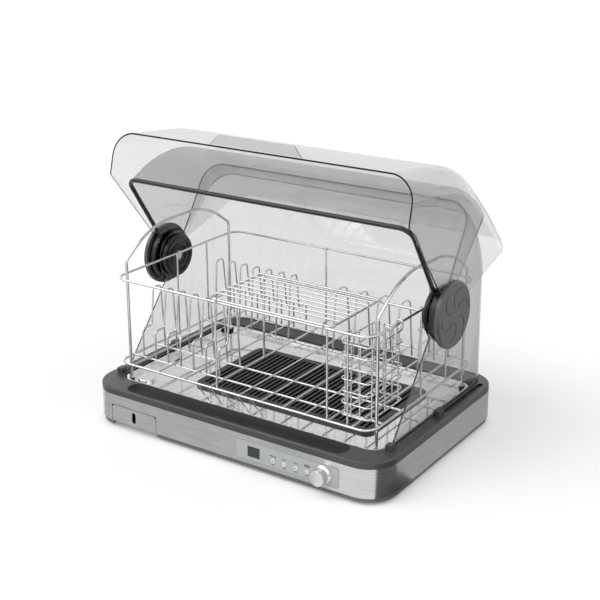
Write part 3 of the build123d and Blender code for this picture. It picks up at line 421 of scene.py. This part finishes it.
def plastic(name, colour, rough, spread=0.05, grain=900.0, relief=0.00003, lift=0.12, gloss=plain_gloss):
    material, tree, shader = start_material(name)
    shader.inputs["Specular IOR Level"].default_value = gloss
    moulded = place_group(tree, grain_group, (-900, 100), Scale=grain, Contrast=1.6)
    smudge = place_group(tree, smudge_group, (-900, -150), Scale=11.0, Amount=0.7)
    set_close_tones(tree, shader, moulded, colour, lift)
    set_roughness(tree, shader, smudge, rough - spread, rough + spread)
    set_relief(tree, shader, moulded, strength=0.25, depth=relief)
    return material


def metal(name, colour, rough, spread=0.04, scale=60.0, lift=0.08):
    material, tree, shader = start_material(name)
    shader.inputs["Metallic"].default_value = 1.0
    cloud = place_group(tree, grain_group, (-900, 100), Scale=scale, Contrast=1.8)
    smudge = place_group(tree, smudge_group, (-900, -150), Scale=25.0, Amount=0.8)
    set_close_tones(tree, shader, cloud, colour, lift)
    set_roughness(tree, shader, smudge, rough - spread, rough + spread)
    set_relief(tree, shader, cloud, strength=0.15, depth=0.00002)
    return material


print("plastic and metal ready")

# %% [markdown]
# The band round the base is stainless sheet, brushed along its length. Level lines in tone and relief give
# the silky streaks, and a broader cloud in the gloss keeps the long front from looking even.

# %% Brushed steel
band_tone = (0.59, 0.59, 0.59)


def brushed_steel(name, colour, lift, smoothest, roughest):
    material, tree, shader = start_material(name)
    shader.inputs["Metallic"].default_value = 1.0
    shader.inputs["Anisotropic"].default_value = 0.85
    shader.inputs["Anisotropic Rotation"].default_value = 0.25
    lines = place_group(tree, brush_group, (-900, 150), Along=22.0, Across=900.0, Contrast=1.9)
    cloud = place_group(tree, smudge_group, (-900, -150), Scale=14.0, Amount=1.0)
    set_close_tones(tree, shader, lines, colour, lift)
    set_roughness(tree, shader, cloud, smoothest, roughest)
    set_relief(tree, shader, lines, strength=0.25, depth=0.00002)
    return material


band_steel = brushed_steel("band_steel", band_tone, lift=0.18, smoothest=0.29, roughest=0.36)
print("made", band_steel.name)

# %% [markdown]
# The lid is clear plastic with a grey smoke tint. Real tint lies in the whole thickness of the sheet, so it
# is made with absorption inside the wall: flat panels stay light, stacked panels darken and edges turn
# nearly black. A tint on the surface alone would look the same at every thickness.

# %% Smoked lid
visor_density = 66.0
inner_density = 118.0
handle_density = 85.0
smoke_tint = (0.10, 0.105, 0.11, 1)
clean_tone, smudged_tone = (0.985, 0.985, 0.985), (0.965, 0.967, 0.97)
clean_rough, smudged_rough = 0.0, 0.03


def smoked_sheet(name, density):
    material, tree, shader = start_material(name)
    shader.inputs["Transmission Weight"].default_value = 1.0
    shader.inputs["IOR"].default_value = 1.46
    smudge = place_group(tree, smudge_group, (-900, -150), Scale=5.0, Amount=0.8)
    set_tones(tree, shader, smudge, clean_tone, smudged_tone)
    set_roughness(tree, shader, smudge, clean_rough, smudged_rough)
    tint = add(tree, "ShaderNodeVolumeAbsorption", (0, -300))
    tint.inputs["Color"].default_value = smoke_tint
    tint.inputs["Density"].default_value = density
    link(tree, tint.outputs[0], tree.nodes["Material Output"].inputs["Volume"])
    return material


visor_smoke = smoked_sheet("visor_smoke", visor_density)
inner_smoke = smoked_sheet("inner_smoke", inner_density)
handle_smoke = smoked_sheet("handle_smoke", handle_density)
print("made", visor_smoke.name, inner_smoke.name, handle_smoke.name)

# %% [markdown]
# Each CAD node names a slot, and one finish belongs to each slot. The metals come first: polished sheet for
# the tray, bright plating on every wire, satin for the knob, and plainer steel for what sits inside.

# %% Metals and lid
finishes = {
    "brushed_band": band_steel,
    "smoked_plastic": inner_smoke,
    "polished_steel": metal("tray_steel", (0.86, 0.86, 0.85), rough=0.11, spread=0.05, scale=40.0),
    "chrome_wire": metal("wire_chrome", (0.66, 0.66, 0.66), rough=0.12, spread=0.05, scale=120.0, lift=0.10),
    "knob_plastic": metal("knob_satin", (0.72, 0.715, 0.70), rough=0.30, spread=0.05, scale=500.0, lift=0.05),
    "machined_steel": metal("turned_steel", (0.56, 0.56, 0.56), rough=0.25),
    "heater_metal": metal("heater_fins", (0.60, 0.60, 0.61), rough=0.35),
    "heater_holder": metal("heater_sheet", (0.46, 0.455, 0.44), rough=0.40),
}
print("finishes", len(finishes))

# %% [markdown]
# The plastics outside follow the photograph: satin dark grey for the rim, a lighter skirt below the band,
# black for hubs and grilles, a dark silver for the hub covers, pale film on the panel and white caps.

# %% Plastics outside
finishes.update({
    "grey_plastic": plastic("rim_plastic", (0.060, 0.061, 0.063), rough=0.42, spread=0.06),
    "skirt_plastic": plastic("skirt_plastic", (0.150, 0.150, 0.152), rough=0.45),
    "black_plastic": plastic("hub_black", (0.016, 0.016, 0.017), rough=0.34, spread=0.06),
    "drawer_plastic": plastic("drawer_plastic", (0.06, 0.06, 0.063), rough=0.50),
    "silver_plastic": plastic("hub_silver", (0.10, 0.10, 0.102), rough=0.30, spread=0.06, grain=500.0),
    "panel_film": plastic("panel_film", (0.48, 0.505, 0.51), rough=0.30, grain=700.0, relief=0.00001,
                          lift=0.04),
    "display_glass": plastic("display_glass", (0.045, 0.05, 0.056), rough=0.12, spread=0.04, grain=300.0,
                             relief=0.0, lift=0.08),
    "button_plastic": plastic("button_white", (0.90, 0.90, 0.90), rough=0.28, relief=0.00001, lift=0.03),
    "rubber": plastic("foot_rubber", (0.018, 0.018, 0.018), rough=0.75, spread=0.08, grain=600.0),
})
print("finishes", len(finishes))

# %% [markdown]
# The parts in the base show only through slots or when someone takes the case apart. They still get their
# own finish: dull paint on the motor, green boards and a coarse felt with a deep relief.

# %% Plastics inside
finishes.update({
    "motor_paint": plastic("motor_paint", (0.03, 0.03, 0.033), rough=0.50),
    "board": plastic("board_green", (0.02, 0.09, 0.04), rough=0.42, spread=0.08, grain=350.0),
    "filter_felt": plastic("filter_felt", (0.36, 0.36, 0.34), rough=0.90, spread=0.04, grain=1500.0,
                           relief=0.0003, lift=0.3),
})
print("finishes", len(finishes))

# %% [markdown]
# A few places differ from the rest of their slot. The visor and its handle hold less smoke than the sheets
# behind them, the bar of the hood is glossy and the print has a dark ink of its own. The cut edges of the lid
# and the hollows of the rim are painted dark: painted shade. A weak gloss keeps the black edges and hollows
# black in a white room.

# %% Finishes for single places
dull_gloss = 0.25
own_finish = {
    "visor_shell": visor_smoke,
    "visor_handle": handle_smoke,
    "hood_front_bar": plastic("bar_gloss", (0.012, 0.012, 0.012), rough=0.16, relief=0.0, lift=0.1),
}
# Painted shade: the rim's hollows are painted darker for the shade that falls in them.
hollow_painted_shade = plastic("trough_painted_shade", (0.020, 0.020, 0.021), rough=0.46, gloss=dull_gloss)
# Painted shade: the lid's cut edges and their rounds are painted black for the dark look along the smoked
# sheet.
edge_painted_shade = plastic("edge_painted_shade", (0.006, 0.006, 0.007), rough=0.40, relief=0.0, lift=0.1, gloss=dull_gloss)
line_ink = plastic("line_ink", (0.16, 0.165, 0.17), rough=0.40, grain=1200.0, relief=0.0, lift=0.1)
mark_ink = plastic("mark_ink", (0.016, 0.017, 0.018), rough=0.50, grain=1200.0, relief=0.0, lift=0.1)
print("own finishes", len(own_finish), hollow_painted_shade.name, edge_painted_shade.name, line_ink.name, mark_ink.name)

# %% [markdown]
# A cut edge of clear sheet is never knife-sharp, so the lid's edges get a small round. Smoked sheet looks
# black on its cut edge, where the eye looks along the whole sheet. Absorption alone leaves it too light, so
# those narrow faces, the rounds along them and the ends of the handle are painted black: painted shade for
# the dark look along the sheet.

# %% Rounded edges of the lid, with painted shade on the cut edges
flat_angle = radians(0.2)
rim_angle = radians(55)
edge_rounds = {"visor_shell": 0.0012, "visor_handle": 0.0010, "hood": 0.0012, "rear_cover": 0.0012,
               "hub_cover_left": 0.0004, "hub_cover_right": 0.0004, "knob": 0.0002}
round_steps = 3
round_profile = 0.6
painted_black_edges = ("visor_shell", "hood", "rear_cover")
painted_black_ends = ("visor_handle",)
cut_share = 0.45
end_slant = 0.3


def is_cut_edge(face, rims):
    # A narrow face with sharp edges along both its long sides
    around = sum(edge.calc_length() for edge in face.edges)
    return sum(edge.calc_length() for edge in face.edges if edge in rims) > cut_share * around


# Painted shade: the ends of the handle are painted black for the dark look through its thickness.
def is_painted_black_end(face, node):
    return node in painted_black_ends and abs(face.normal.x) > end_slant


def round_edges(shape, node):
    bmesh.ops.dissolve_limit(shape, angle_limit=flat_angle, verts=shape.verts, edges=shape.edges)
    rims = {edge for edge in shape.edges if edge.is_manifold and edge.calc_face_angle(0) > rim_angle}
    for face in shape.faces:
        cut = node in painted_black_edges and is_cut_edge(face, rims)
        face.material_index = int(cut or is_painted_black_end(face, node))
    made = bmesh.ops.bevel(shape, geom=sorted(rims, key=lambda edge: edge.index), offset=edge_rounds[node],
                           offset_type="OFFSET", segments=round_steps, profile=round_profile,
                           affect="EDGES", clamp_overlap=True)
    # The rounds on the lid take the black edge finish too: painted shade.
    for face in made["faces"]:
        face.material_index = int(node in painted_black_edges or is_painted_black_end(face, node))


print("rounded", len(edge_rounds), "pieces, black edges on", len(painted_black_edges + painted_black_ends))

# %% [markdown]
# The CAD nodes arrive as loose triangles. Where a curved piece should look smooth, a copy of the node's
# mesh is merged, its sharp edges are marked by angle, and the copy stands for the node on the same body.
# Plain smooth shading bends the light in a flat pane beside a round, so the normals are weighted by the
# size of the faces.

# %% Smooth copies of the nodes
slot_of = {item["node"]: item["material_slot"] for item in frame["record"]["subparts"]}
body_of = {node: body for body, nodes in frame["record"]["behaviour"]["bodies"].items() for node in nodes}
sharp_angle = radians(32)
merge_distance = 0.00001


def even_normals(piece):
    modifier = piece.modifiers.new("even_normals", "WEIGHTED_NORMAL")
    modifier.keep_sharp = True
    graph = bpy.context.evaluated_depsgraph_get()
    made = bpy.data.meshes.new_from_object(piece.evaluated_get(graph), preserve_all_data_layers=True,
                                           depsgraph=graph)
    piece.modifiers.remove(modifier)
    first = piece.data
    piece.data = made
    bpy.data.meshes.remove(first)
    made.name = piece.name


def smooth_copy(node):
    source = frame["nodes"][node]
    shape = bmesh.new()
    shape.from_mesh(source.data)
    bmesh.ops.remove_doubles(shape, verts=shape.verts, dist=merge_distance)
    for face in shape.faces:
        face.material_index = 0
    if node in edge_rounds:
        round_edges(shape, node)
    for face in shape.faces:
        face.smooth = True
    for edge in shape.edges:
        edge.smooth = edge.is_manifold and edge.calc_face_angle(0) < sharp_angle
    mesh = bpy.data.meshes.new(node + "_dressed")
    shape.to_mesh(mesh)
    shape.free()
    piece = bpy.data.objects.new(node + "_dressed", mesh)
    scene.collection.objects.link(piece)
    mesh.materials.clear()
    mesh.materials.append(own_finish.get(node, finishes[slot_of[node]]))
    # The second slot paints the cut edges black: painted shade.
    if node in painted_black_edges + painted_black_ends:
        mesh.materials.append(edge_painted_shade)
    even_normals(piece)
    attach(piece, body_of[node])
    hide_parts(node)
    return piece


dressed = {node: smooth_copy(node) for node in sorted(frame["nodes"])}
print("dressed", len(dressed), "pieces,", sum(len(p.data.polygons) for p in dressed.values()), "faces")

# %% [markdown]
# The long hollow in the front of the rim and the two channels beside the lid are painted darker than the
# rim around them: painted shade for the shade that falls in them. The faces below the rim's top, but inside
# its outer wall, take that finish.

# %% Painted shade in the hollows of the rim


def node_box(node):
    points = [vertex.co for vertex in frame["nodes"][node].data.vertices]
    low = Vector([min(p[k] for p in points) for k in range(3)])
    high = Vector([max(p[k] for p in points) for k in range(3)])
    return low, high


rim_low, rim_high = node_box("top_rim")
tray_low, tray_high = node_box("drip_tray")
hollow_drop = 0.00003
hollow_floor = 0.0072
wall_inset = 0.006
corner_clear = 0.03


def in_hollow(center):
    across = abs(center.x)
    under_top = rim_high.z - hollow_floor < center.z < rim_high.z - hollow_drop
    in_front = rim_low.y + wall_inset < center.y < tray_low.y and across < tray_high.x - corner_clear
    beside = tray_high.x < across < rim_high.x - wall_inset and 0 < center.y < tray_high.y + wall_inset
    return under_top and (in_front or beside)


rim_mesh = dressed["top_rim"].data
# The second slot paints the hollows darker: painted shade.
rim_mesh.materials.append(hollow_painted_shade)
hollow_faces = [face for face in rim_mesh.polygons if in_hollow(face.center)]
for face in hollow_faces:
    face.material_index = 1
print("hollow faces", len(hollow_faces))

# %% [markdown]
# The rack is made of wires that are spot welded where they touch. To find those places on the model itself,
# each node is first taken apart into its single wires, and every wire is grown by a hair. The wires are
# taken in the order of their points, so that every run finds them alike.

# %% Single wires
wire_nodes = [node for node in sorted(frame["nodes"]) if slot_of[node] == "chrome_wire"]
touch_reach = 0.00012


def connected_points(first, unseen):
    members = []
    pile = [first]
    unseen.remove(first)
    while pile:
        vertex = pile.pop()
        members.append(vertex)
        for edge in vertex.link_edges:
            other = edge.other_vert(vertex)
            if other in unseen:
                unseen.remove(other)
                pile.append(other)
    return members


def loose_wires(node):
    shape = bmesh.new()
    shape.from_mesh(frame["nodes"][node].data)
    bmesh.ops.remove_doubles(shape, verts=shape.verts, dist=merge_distance)
    shape.normal_update()
    unseen = set(shape.verts)
    wires = []
    for first in shape.verts:
        if first in unseen:
            members = connected_points(first, unseen)
            place = {vertex: index for index, vertex in enumerate(members)}
            points = [vertex.co + vertex.normal * touch_reach for vertex in members]
            faces = {face for vertex in members for face in vertex.link_faces}
            triangles = sorted(tuple(place[vertex] for vertex in face.verts) for face in faces)
            wires.append((points, triangles, BVHTree.FromPolygons(points, triangles)))
    shape.free()
    return wires


rack_wires = [wire for node in wire_nodes for wire in loose_wires(node)]
print("wires", len(rack_wires))

# %% [markdown]
# Where two grown wires cut each other, the real ones touch and each weld leaves a small bead. The points of
# one cut lie close together, so they are gathered and their middle is the place of the bead.

# %% Where the wires touch
weld_spacing = 0.005


def cut_points(one, two):
    # Where the edges of one triangle pass through the other
    found = []
    for edges, face in ((one, two), (two, one)):
        for start, end in ((edges[0], edges[1]), (edges[1], edges[2]), (edges[2], edges[0])):
            hit = intersect_ray_tri(*face, end - start, start, True)
            if hit and (hit - start).length <= (end - start).length:
                found.append(hit)
    return found


def touch_places(wires):
    places = []
    for index, (points, triangles, grown) in enumerate(wires):
        for other_points, other_triangles, other_grown in wires[:index]:
            found = []
            for a, b in grown.overlap(other_grown):
                one = [points[k] for k in triangles[a]]
                two = [other_points[k] for k in other_triangles[b]]
                found += cut_points(one, two)
            while found:
                near = [p for p in found if (p - found[0]).length < weld_spacing]
                found = [p for p in found if (p - found[0]).length >= weld_spacing]
                places.append(sum(near, Vector()) / len(near))
    return places


welds = touch_places(rack_wires)
print("welds", len(welds))

# %% [markdown]
# Geometry Nodes set one bead on each place. A tree is built once from named inputs, its result is turned
# into a plain mesh, and that mesh rides on the body like any other piece.

# %% Helpers for Geometry Nodes


def new_tree(name, inputs):
    tree = bpy.data.node_groups.new(name, "GeometryNodeTree")
    tree.interface.new_socket("Geometry", in_out="INPUT", socket_type="NodeSocketGeometry")
    keys = {}
    for label, (kind, value) in inputs.items():
        socket = tree.interface.new_socket(label, in_out="INPUT", socket_type=kind)
        if value is not None:
            socket.default_value = value
        keys[label] = socket.identifier
    tree.interface.new_socket("Geometry", in_out="OUTPUT", socket_type="NodeSocketGeometry")
    return tree, keys, add(tree, "NodeGroupInput", (-800, 0)), add(tree, "NodeGroupOutput", (800, 0))


def close_tree(tree, geometry, source, sink):
    # Every tree ends alike: real geometry with its finish
    real = add(tree, "GeometryNodeRealizeInstances", (400, 0))
    dress = add(tree, "GeometryNodeSetMaterial", (600, 0))
    link(tree, geometry, real.inputs["Geometry"])
    link(tree, real.outputs["Geometry"], dress.inputs["Geometry"])
    link(tree, source.outputs["Finish"], dress.inputs["Material"])
    link(tree, dress.outputs["Geometry"], sink.inputs["Geometry"])


def grow_piece(name, points, tree, keys, values, body, sizes=()):
    seed_mesh = bpy.data.meshes.new(name + "_points")
    seed_mesh.from_pydata(points, [], [])
    if sizes:
        size = seed_mesh.attributes.new("size", "FLOAT_VECTOR", "POINT")
        for item, value in zip(size.data, sizes):
            item.vector = value
    piece = bpy.data.objects.new(name, seed_mesh)
    scene.collection.objects.link(piece)
    modifier = piece.modifiers.new(name, "NODES")
    modifier.node_group = tree
    for label, value in values.items():
        modifier[keys[label]] = value
    made = bpy.data.meshes.new_from_object(piece.evaluated_get(bpy.context.evaluated_depsgraph_get()))
    piece.modifiers.remove(modifier)
    made.name = name
    piece.data = made
    bpy.data.meshes.remove(seed_mesh)
    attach(piece, body)
    return piece


print("tree helpers ready")

# %% [markdown]
# A weld bead is a small uneven lump. A ball of few faces is enough, because there are hundreds of them, and
# a seeded random size along each axis keeps them from looking stamped.

# %% Weld beads
bead_radius = 0.00155
bead_detail = 2
bead_uneven = 0.12
bead_seed = 4


def bead_tree():
    tree, keys, source, sink = new_tree("weld_beads", {
        "Radius": ("NodeSocketFloat", 0.001), "Uneven": ("NodeSocketFloat", 0.1),
        "Seed": ("NodeSocketInt", 1), "Finish": ("NodeSocketMaterial", None)})
    ball = add(tree, "GeometryNodeMeshIcoSphere", (-550, -200))
    ball.inputs["Subdivisions"].default_value = bead_detail
    link(tree, source.outputs["Radius"], ball.inputs["Radius"])
    smooth = add(tree, "GeometryNodeSetShadeSmooth", (-350, -200))
    link(tree, ball.outputs["Mesh"], smooth.inputs["Geometry"])
    low = add(tree, "ShaderNodeMath", (-550, 200), operation="SUBTRACT")
    high = add(tree, "ShaderNodeMath", (-550, 350), operation="ADD")
    size = add(tree, "FunctionNodeRandomValue", (-300, 200), data_type="FLOAT_VECTOR")
    for end, socket in ((low, "Min"), (high, "Max")):
        end.inputs[0].default_value = 1.0
        link(tree, source.outputs["Uneven"], end.inputs[1])
        link(tree, end.outputs[0], size.inputs[socket])
    link(tree, source.outputs["Seed"], size.inputs["Seed"])
    beads = add(tree, "GeometryNodeInstanceOnPoints", (0, 0))
    link(tree, source.outputs["Geometry"], beads.inputs["Points"])
    link(tree, smooth.outputs["Geometry"], beads.inputs["Instance"])
    link(tree, size.outputs["Value"], beads.inputs["Scale"])
    close_tree(tree, beads.outputs["Instances"], source, sink)
    return tree, keys


weld_tree, weld_keys = bead_tree()
weld_values = {"Radius": bead_radius, "Uneven": bead_uneven, "Seed": bead_seed,
               "Finish": finishes["chrome_wire"]}
weld_beads = grow_piece("weld_beads", welds, weld_tree, weld_keys, weld_values, "base")
print("beads", len(weld_beads.data.polygons), "faces")

# %% [markdown]
# The panel carries small print. It could be a picture, but a picture would need a file and a map. Flat
# blocks stay sharp at any distance: one tree sets a block on every point and takes its size from the point.

# %% Tree for the printed marks
mark_depth = 0.00006


def mark_tree():
    tree, keys, source, sink = new_tree("printed_marks", {"Finish": ("NodeSocketMaterial", None)})
    block = add(tree, "GeometryNodeMeshCube", (-400, -200))
    size = add(tree, "GeometryNodeInputNamedAttribute", (-400, 200), data_type="FLOAT_VECTOR")
    size.inputs["Name"].default_value = "size"
    blocks = add(tree, "GeometryNodeInstanceOnPoints", (0, 0))
    link(tree, source.outputs["Geometry"], blocks.inputs["Points"])
    link(tree, block.outputs["Mesh"], blocks.inputs["Instance"])
    link(tree, size.outputs["Attribute"], blocks.inputs["Scale"])
    close_tree(tree, blocks.outputs["Instances"], source, sink)
    return tree, keys


marks_tree, marks_keys = mark_tree()


def print_marks(name, marks, body):
    places = [place for place, size in marks]
    sizes = [size for place, size in marks]
    return grow_piece(name, places, marks_tree, marks_keys, {"Finish": mark_ink}, body, sizes)


print("tree", marks_tree.name)

# %% [markdown]
# A row of strokes stands above and below each button, for a word without being one. Strokes of uneven width
# and height look as letters do from afar. Each cap carries a plain symbol made of one or two strokes, given
# by their places and sizes.

# %% Words and symbols
stroke_widths = (0.0005, 0.0010)
stroke_heights = (0.0015, 0.0020, 0.0020)
stroke_gap = 0.0004
symbol_long, symbol_wide, plus_wide = 0.0030, 0.0009, 0.0008
pause_tall, pause_apart = 0.0026, 0.0009


def word_row(chance, x, z, y, width):
    strokes = []
    at = -width / 2
    while at < width / 2:
        wide = chance.uniform(*stroke_widths)
        tall = chance.choice(stroke_heights)
        strokes.append(((x + at + wide / 2, y, z), (wide, mark_depth, tall)))
        at += wide + stroke_gap
    return strokes


plus_symbol = [((0, 0), (symbol_long, plus_wide)), ((0, 0), (plus_wide, symbol_long))]
minus_symbol = [((0, 0), (symbol_long, symbol_wide))]
pause_symbol = [((x, 0), (symbol_wide, pause_tall)) for x in (-pause_apart, pause_apart)]
start_symbol = [((0, 0), (symbol_wide, symbol_long))]
symbols = (plus_symbol, minus_symbol, pause_symbol, start_symbol)
print("symbols", len(symbols))

# %% [markdown]
# The print takes its places from the buttons. The words stay on the panel, and each symbol rides on its own
# button, so that it goes in when the button is pressed. A fixed seed draws the same strokes in every run.

# %% Print on the panel and the caps
panel_low, panel_high = node_box("control_panel")
panel_face = panel_low.y - mark_depth / 2
word_widths = (0.0105, 0.0065, 0.0070, 0.0095)
word_above, word_below, word_step, short_word = 0.0078, 0.0060, 0.0024, 0.0045
word_seed = 11
chance = random.Random(word_seed)
words = []
for number, (width, symbol) in enumerate(zip(word_widths, symbols), 1):
    cap_low, cap_high = node_box(f"button_{number}")
    middle = (cap_low + cap_high) / 2
    words += word_row(chance, middle.x, middle.z + word_above, panel_face, width)
    words += word_row(chance, middle.x, middle.z - word_below, panel_face, short_word)
    cap_face = cap_low.y - mark_depth / 2
    strokes = [((middle.x + x, cap_face, middle.z + z), (wide, mark_depth, tall))
               for (x, z), (wide, tall) in symbol]
    print_marks(f"button_{number}_mark", strokes, f"button_body_{number}")
words += word_row(chance, middle.x, middle.z + word_above + word_step, panel_face, word_widths[-1])
panel_words = print_marks("panel_words", words, "base")
print(panel_words.name, "strokes", len(words))

# %% [markdown]
# A fine line runs round the panel just inside its edge. It follows a path: a rounded rectangle swept by a
# small ring. Half of the ring lies in the panel, so only a thin raised line shows.

# %% Line round the panel
line_inset = 0.0013
line_radius = 0.00018
line_corner = 0.003
corner_steps = 8
ring_sides = 8


def outline_tree():
    tree, keys, source, sink = new_tree("panel_line", {
        "Width": ("NodeSocketFloat", 0.1), "Height": ("NodeSocketFloat", 0.03),
        "Corner": ("NodeSocketFloat", 0.003), "Line Radius": ("NodeSocketFloat", 0.0002),
        "Finish": ("NodeSocketMaterial", None)})
    frame_line = add(tree, "GeometryNodeCurvePrimitiveQuadrilateral", (-600, 200))
    rounded = add(tree, "GeometryNodeFilletCurve", (-420, 200), mode="POLY")
    rounded.inputs["Count"].default_value = corner_steps
    ring = add(tree, "GeometryNodeCurvePrimitiveCircle", (-420, -100))
    ring.inputs["Resolution"].default_value = ring_sides
    swept = add(tree, "GeometryNodeCurveToMesh", (-220, 200))
    turned = add(tree, "GeometryNodeTransform", (-40, 200))
    turned.inputs["Rotation"].default_value = (pi / 2, 0, 0)
    placed = add(tree, "GeometryNodeInstanceOnPoints", (160, 0))
    link(tree, source.outputs["Width"], frame_line.inputs["Width"])
    link(tree, source.outputs["Height"], frame_line.inputs["Height"])
    link(tree, frame_line.outputs["Curve"], rounded.inputs["Curve"])
    link(tree, source.outputs["Corner"], rounded.inputs["Radius"])
    link(tree, source.outputs["Line Radius"], ring.inputs["Radius"])
    link(tree, rounded.outputs["Curve"], swept.inputs["Curve"])
    link(tree, ring.outputs["Curve"], swept.inputs["Profile Curve"])
    link(tree, swept.outputs["Mesh"], turned.inputs["Geometry"])
    link(tree, source.outputs["Geometry"], placed.inputs["Points"])
    link(tree, turned.outputs["Geometry"], placed.inputs["Instance"])
    close_tree(tree, placed.outputs["Instances"], source, sink)
    return tree, keys


line_tree, line_keys = outline_tree()
panel_size = panel_high - panel_low
line_values = {"Width": panel_size.x - 2 * line_inset, "Height": panel_size.z - 2 * line_inset,
               "Corner": line_corner, "Line Radius": line_radius, "Finish": line_ink}
line_place = [((panel_low.x + panel_high.x) / 2, panel_low.y, (panel_low.z + panel_high.z) / 2)]
panel_line = grow_piece("panel_line", line_place, line_tree, line_keys, line_values, "base")
print("line", len(panel_line.data.polygons), "faces")

# %% [markdown]
# The last cell only marks the end of the script.

# %% End
print("done")
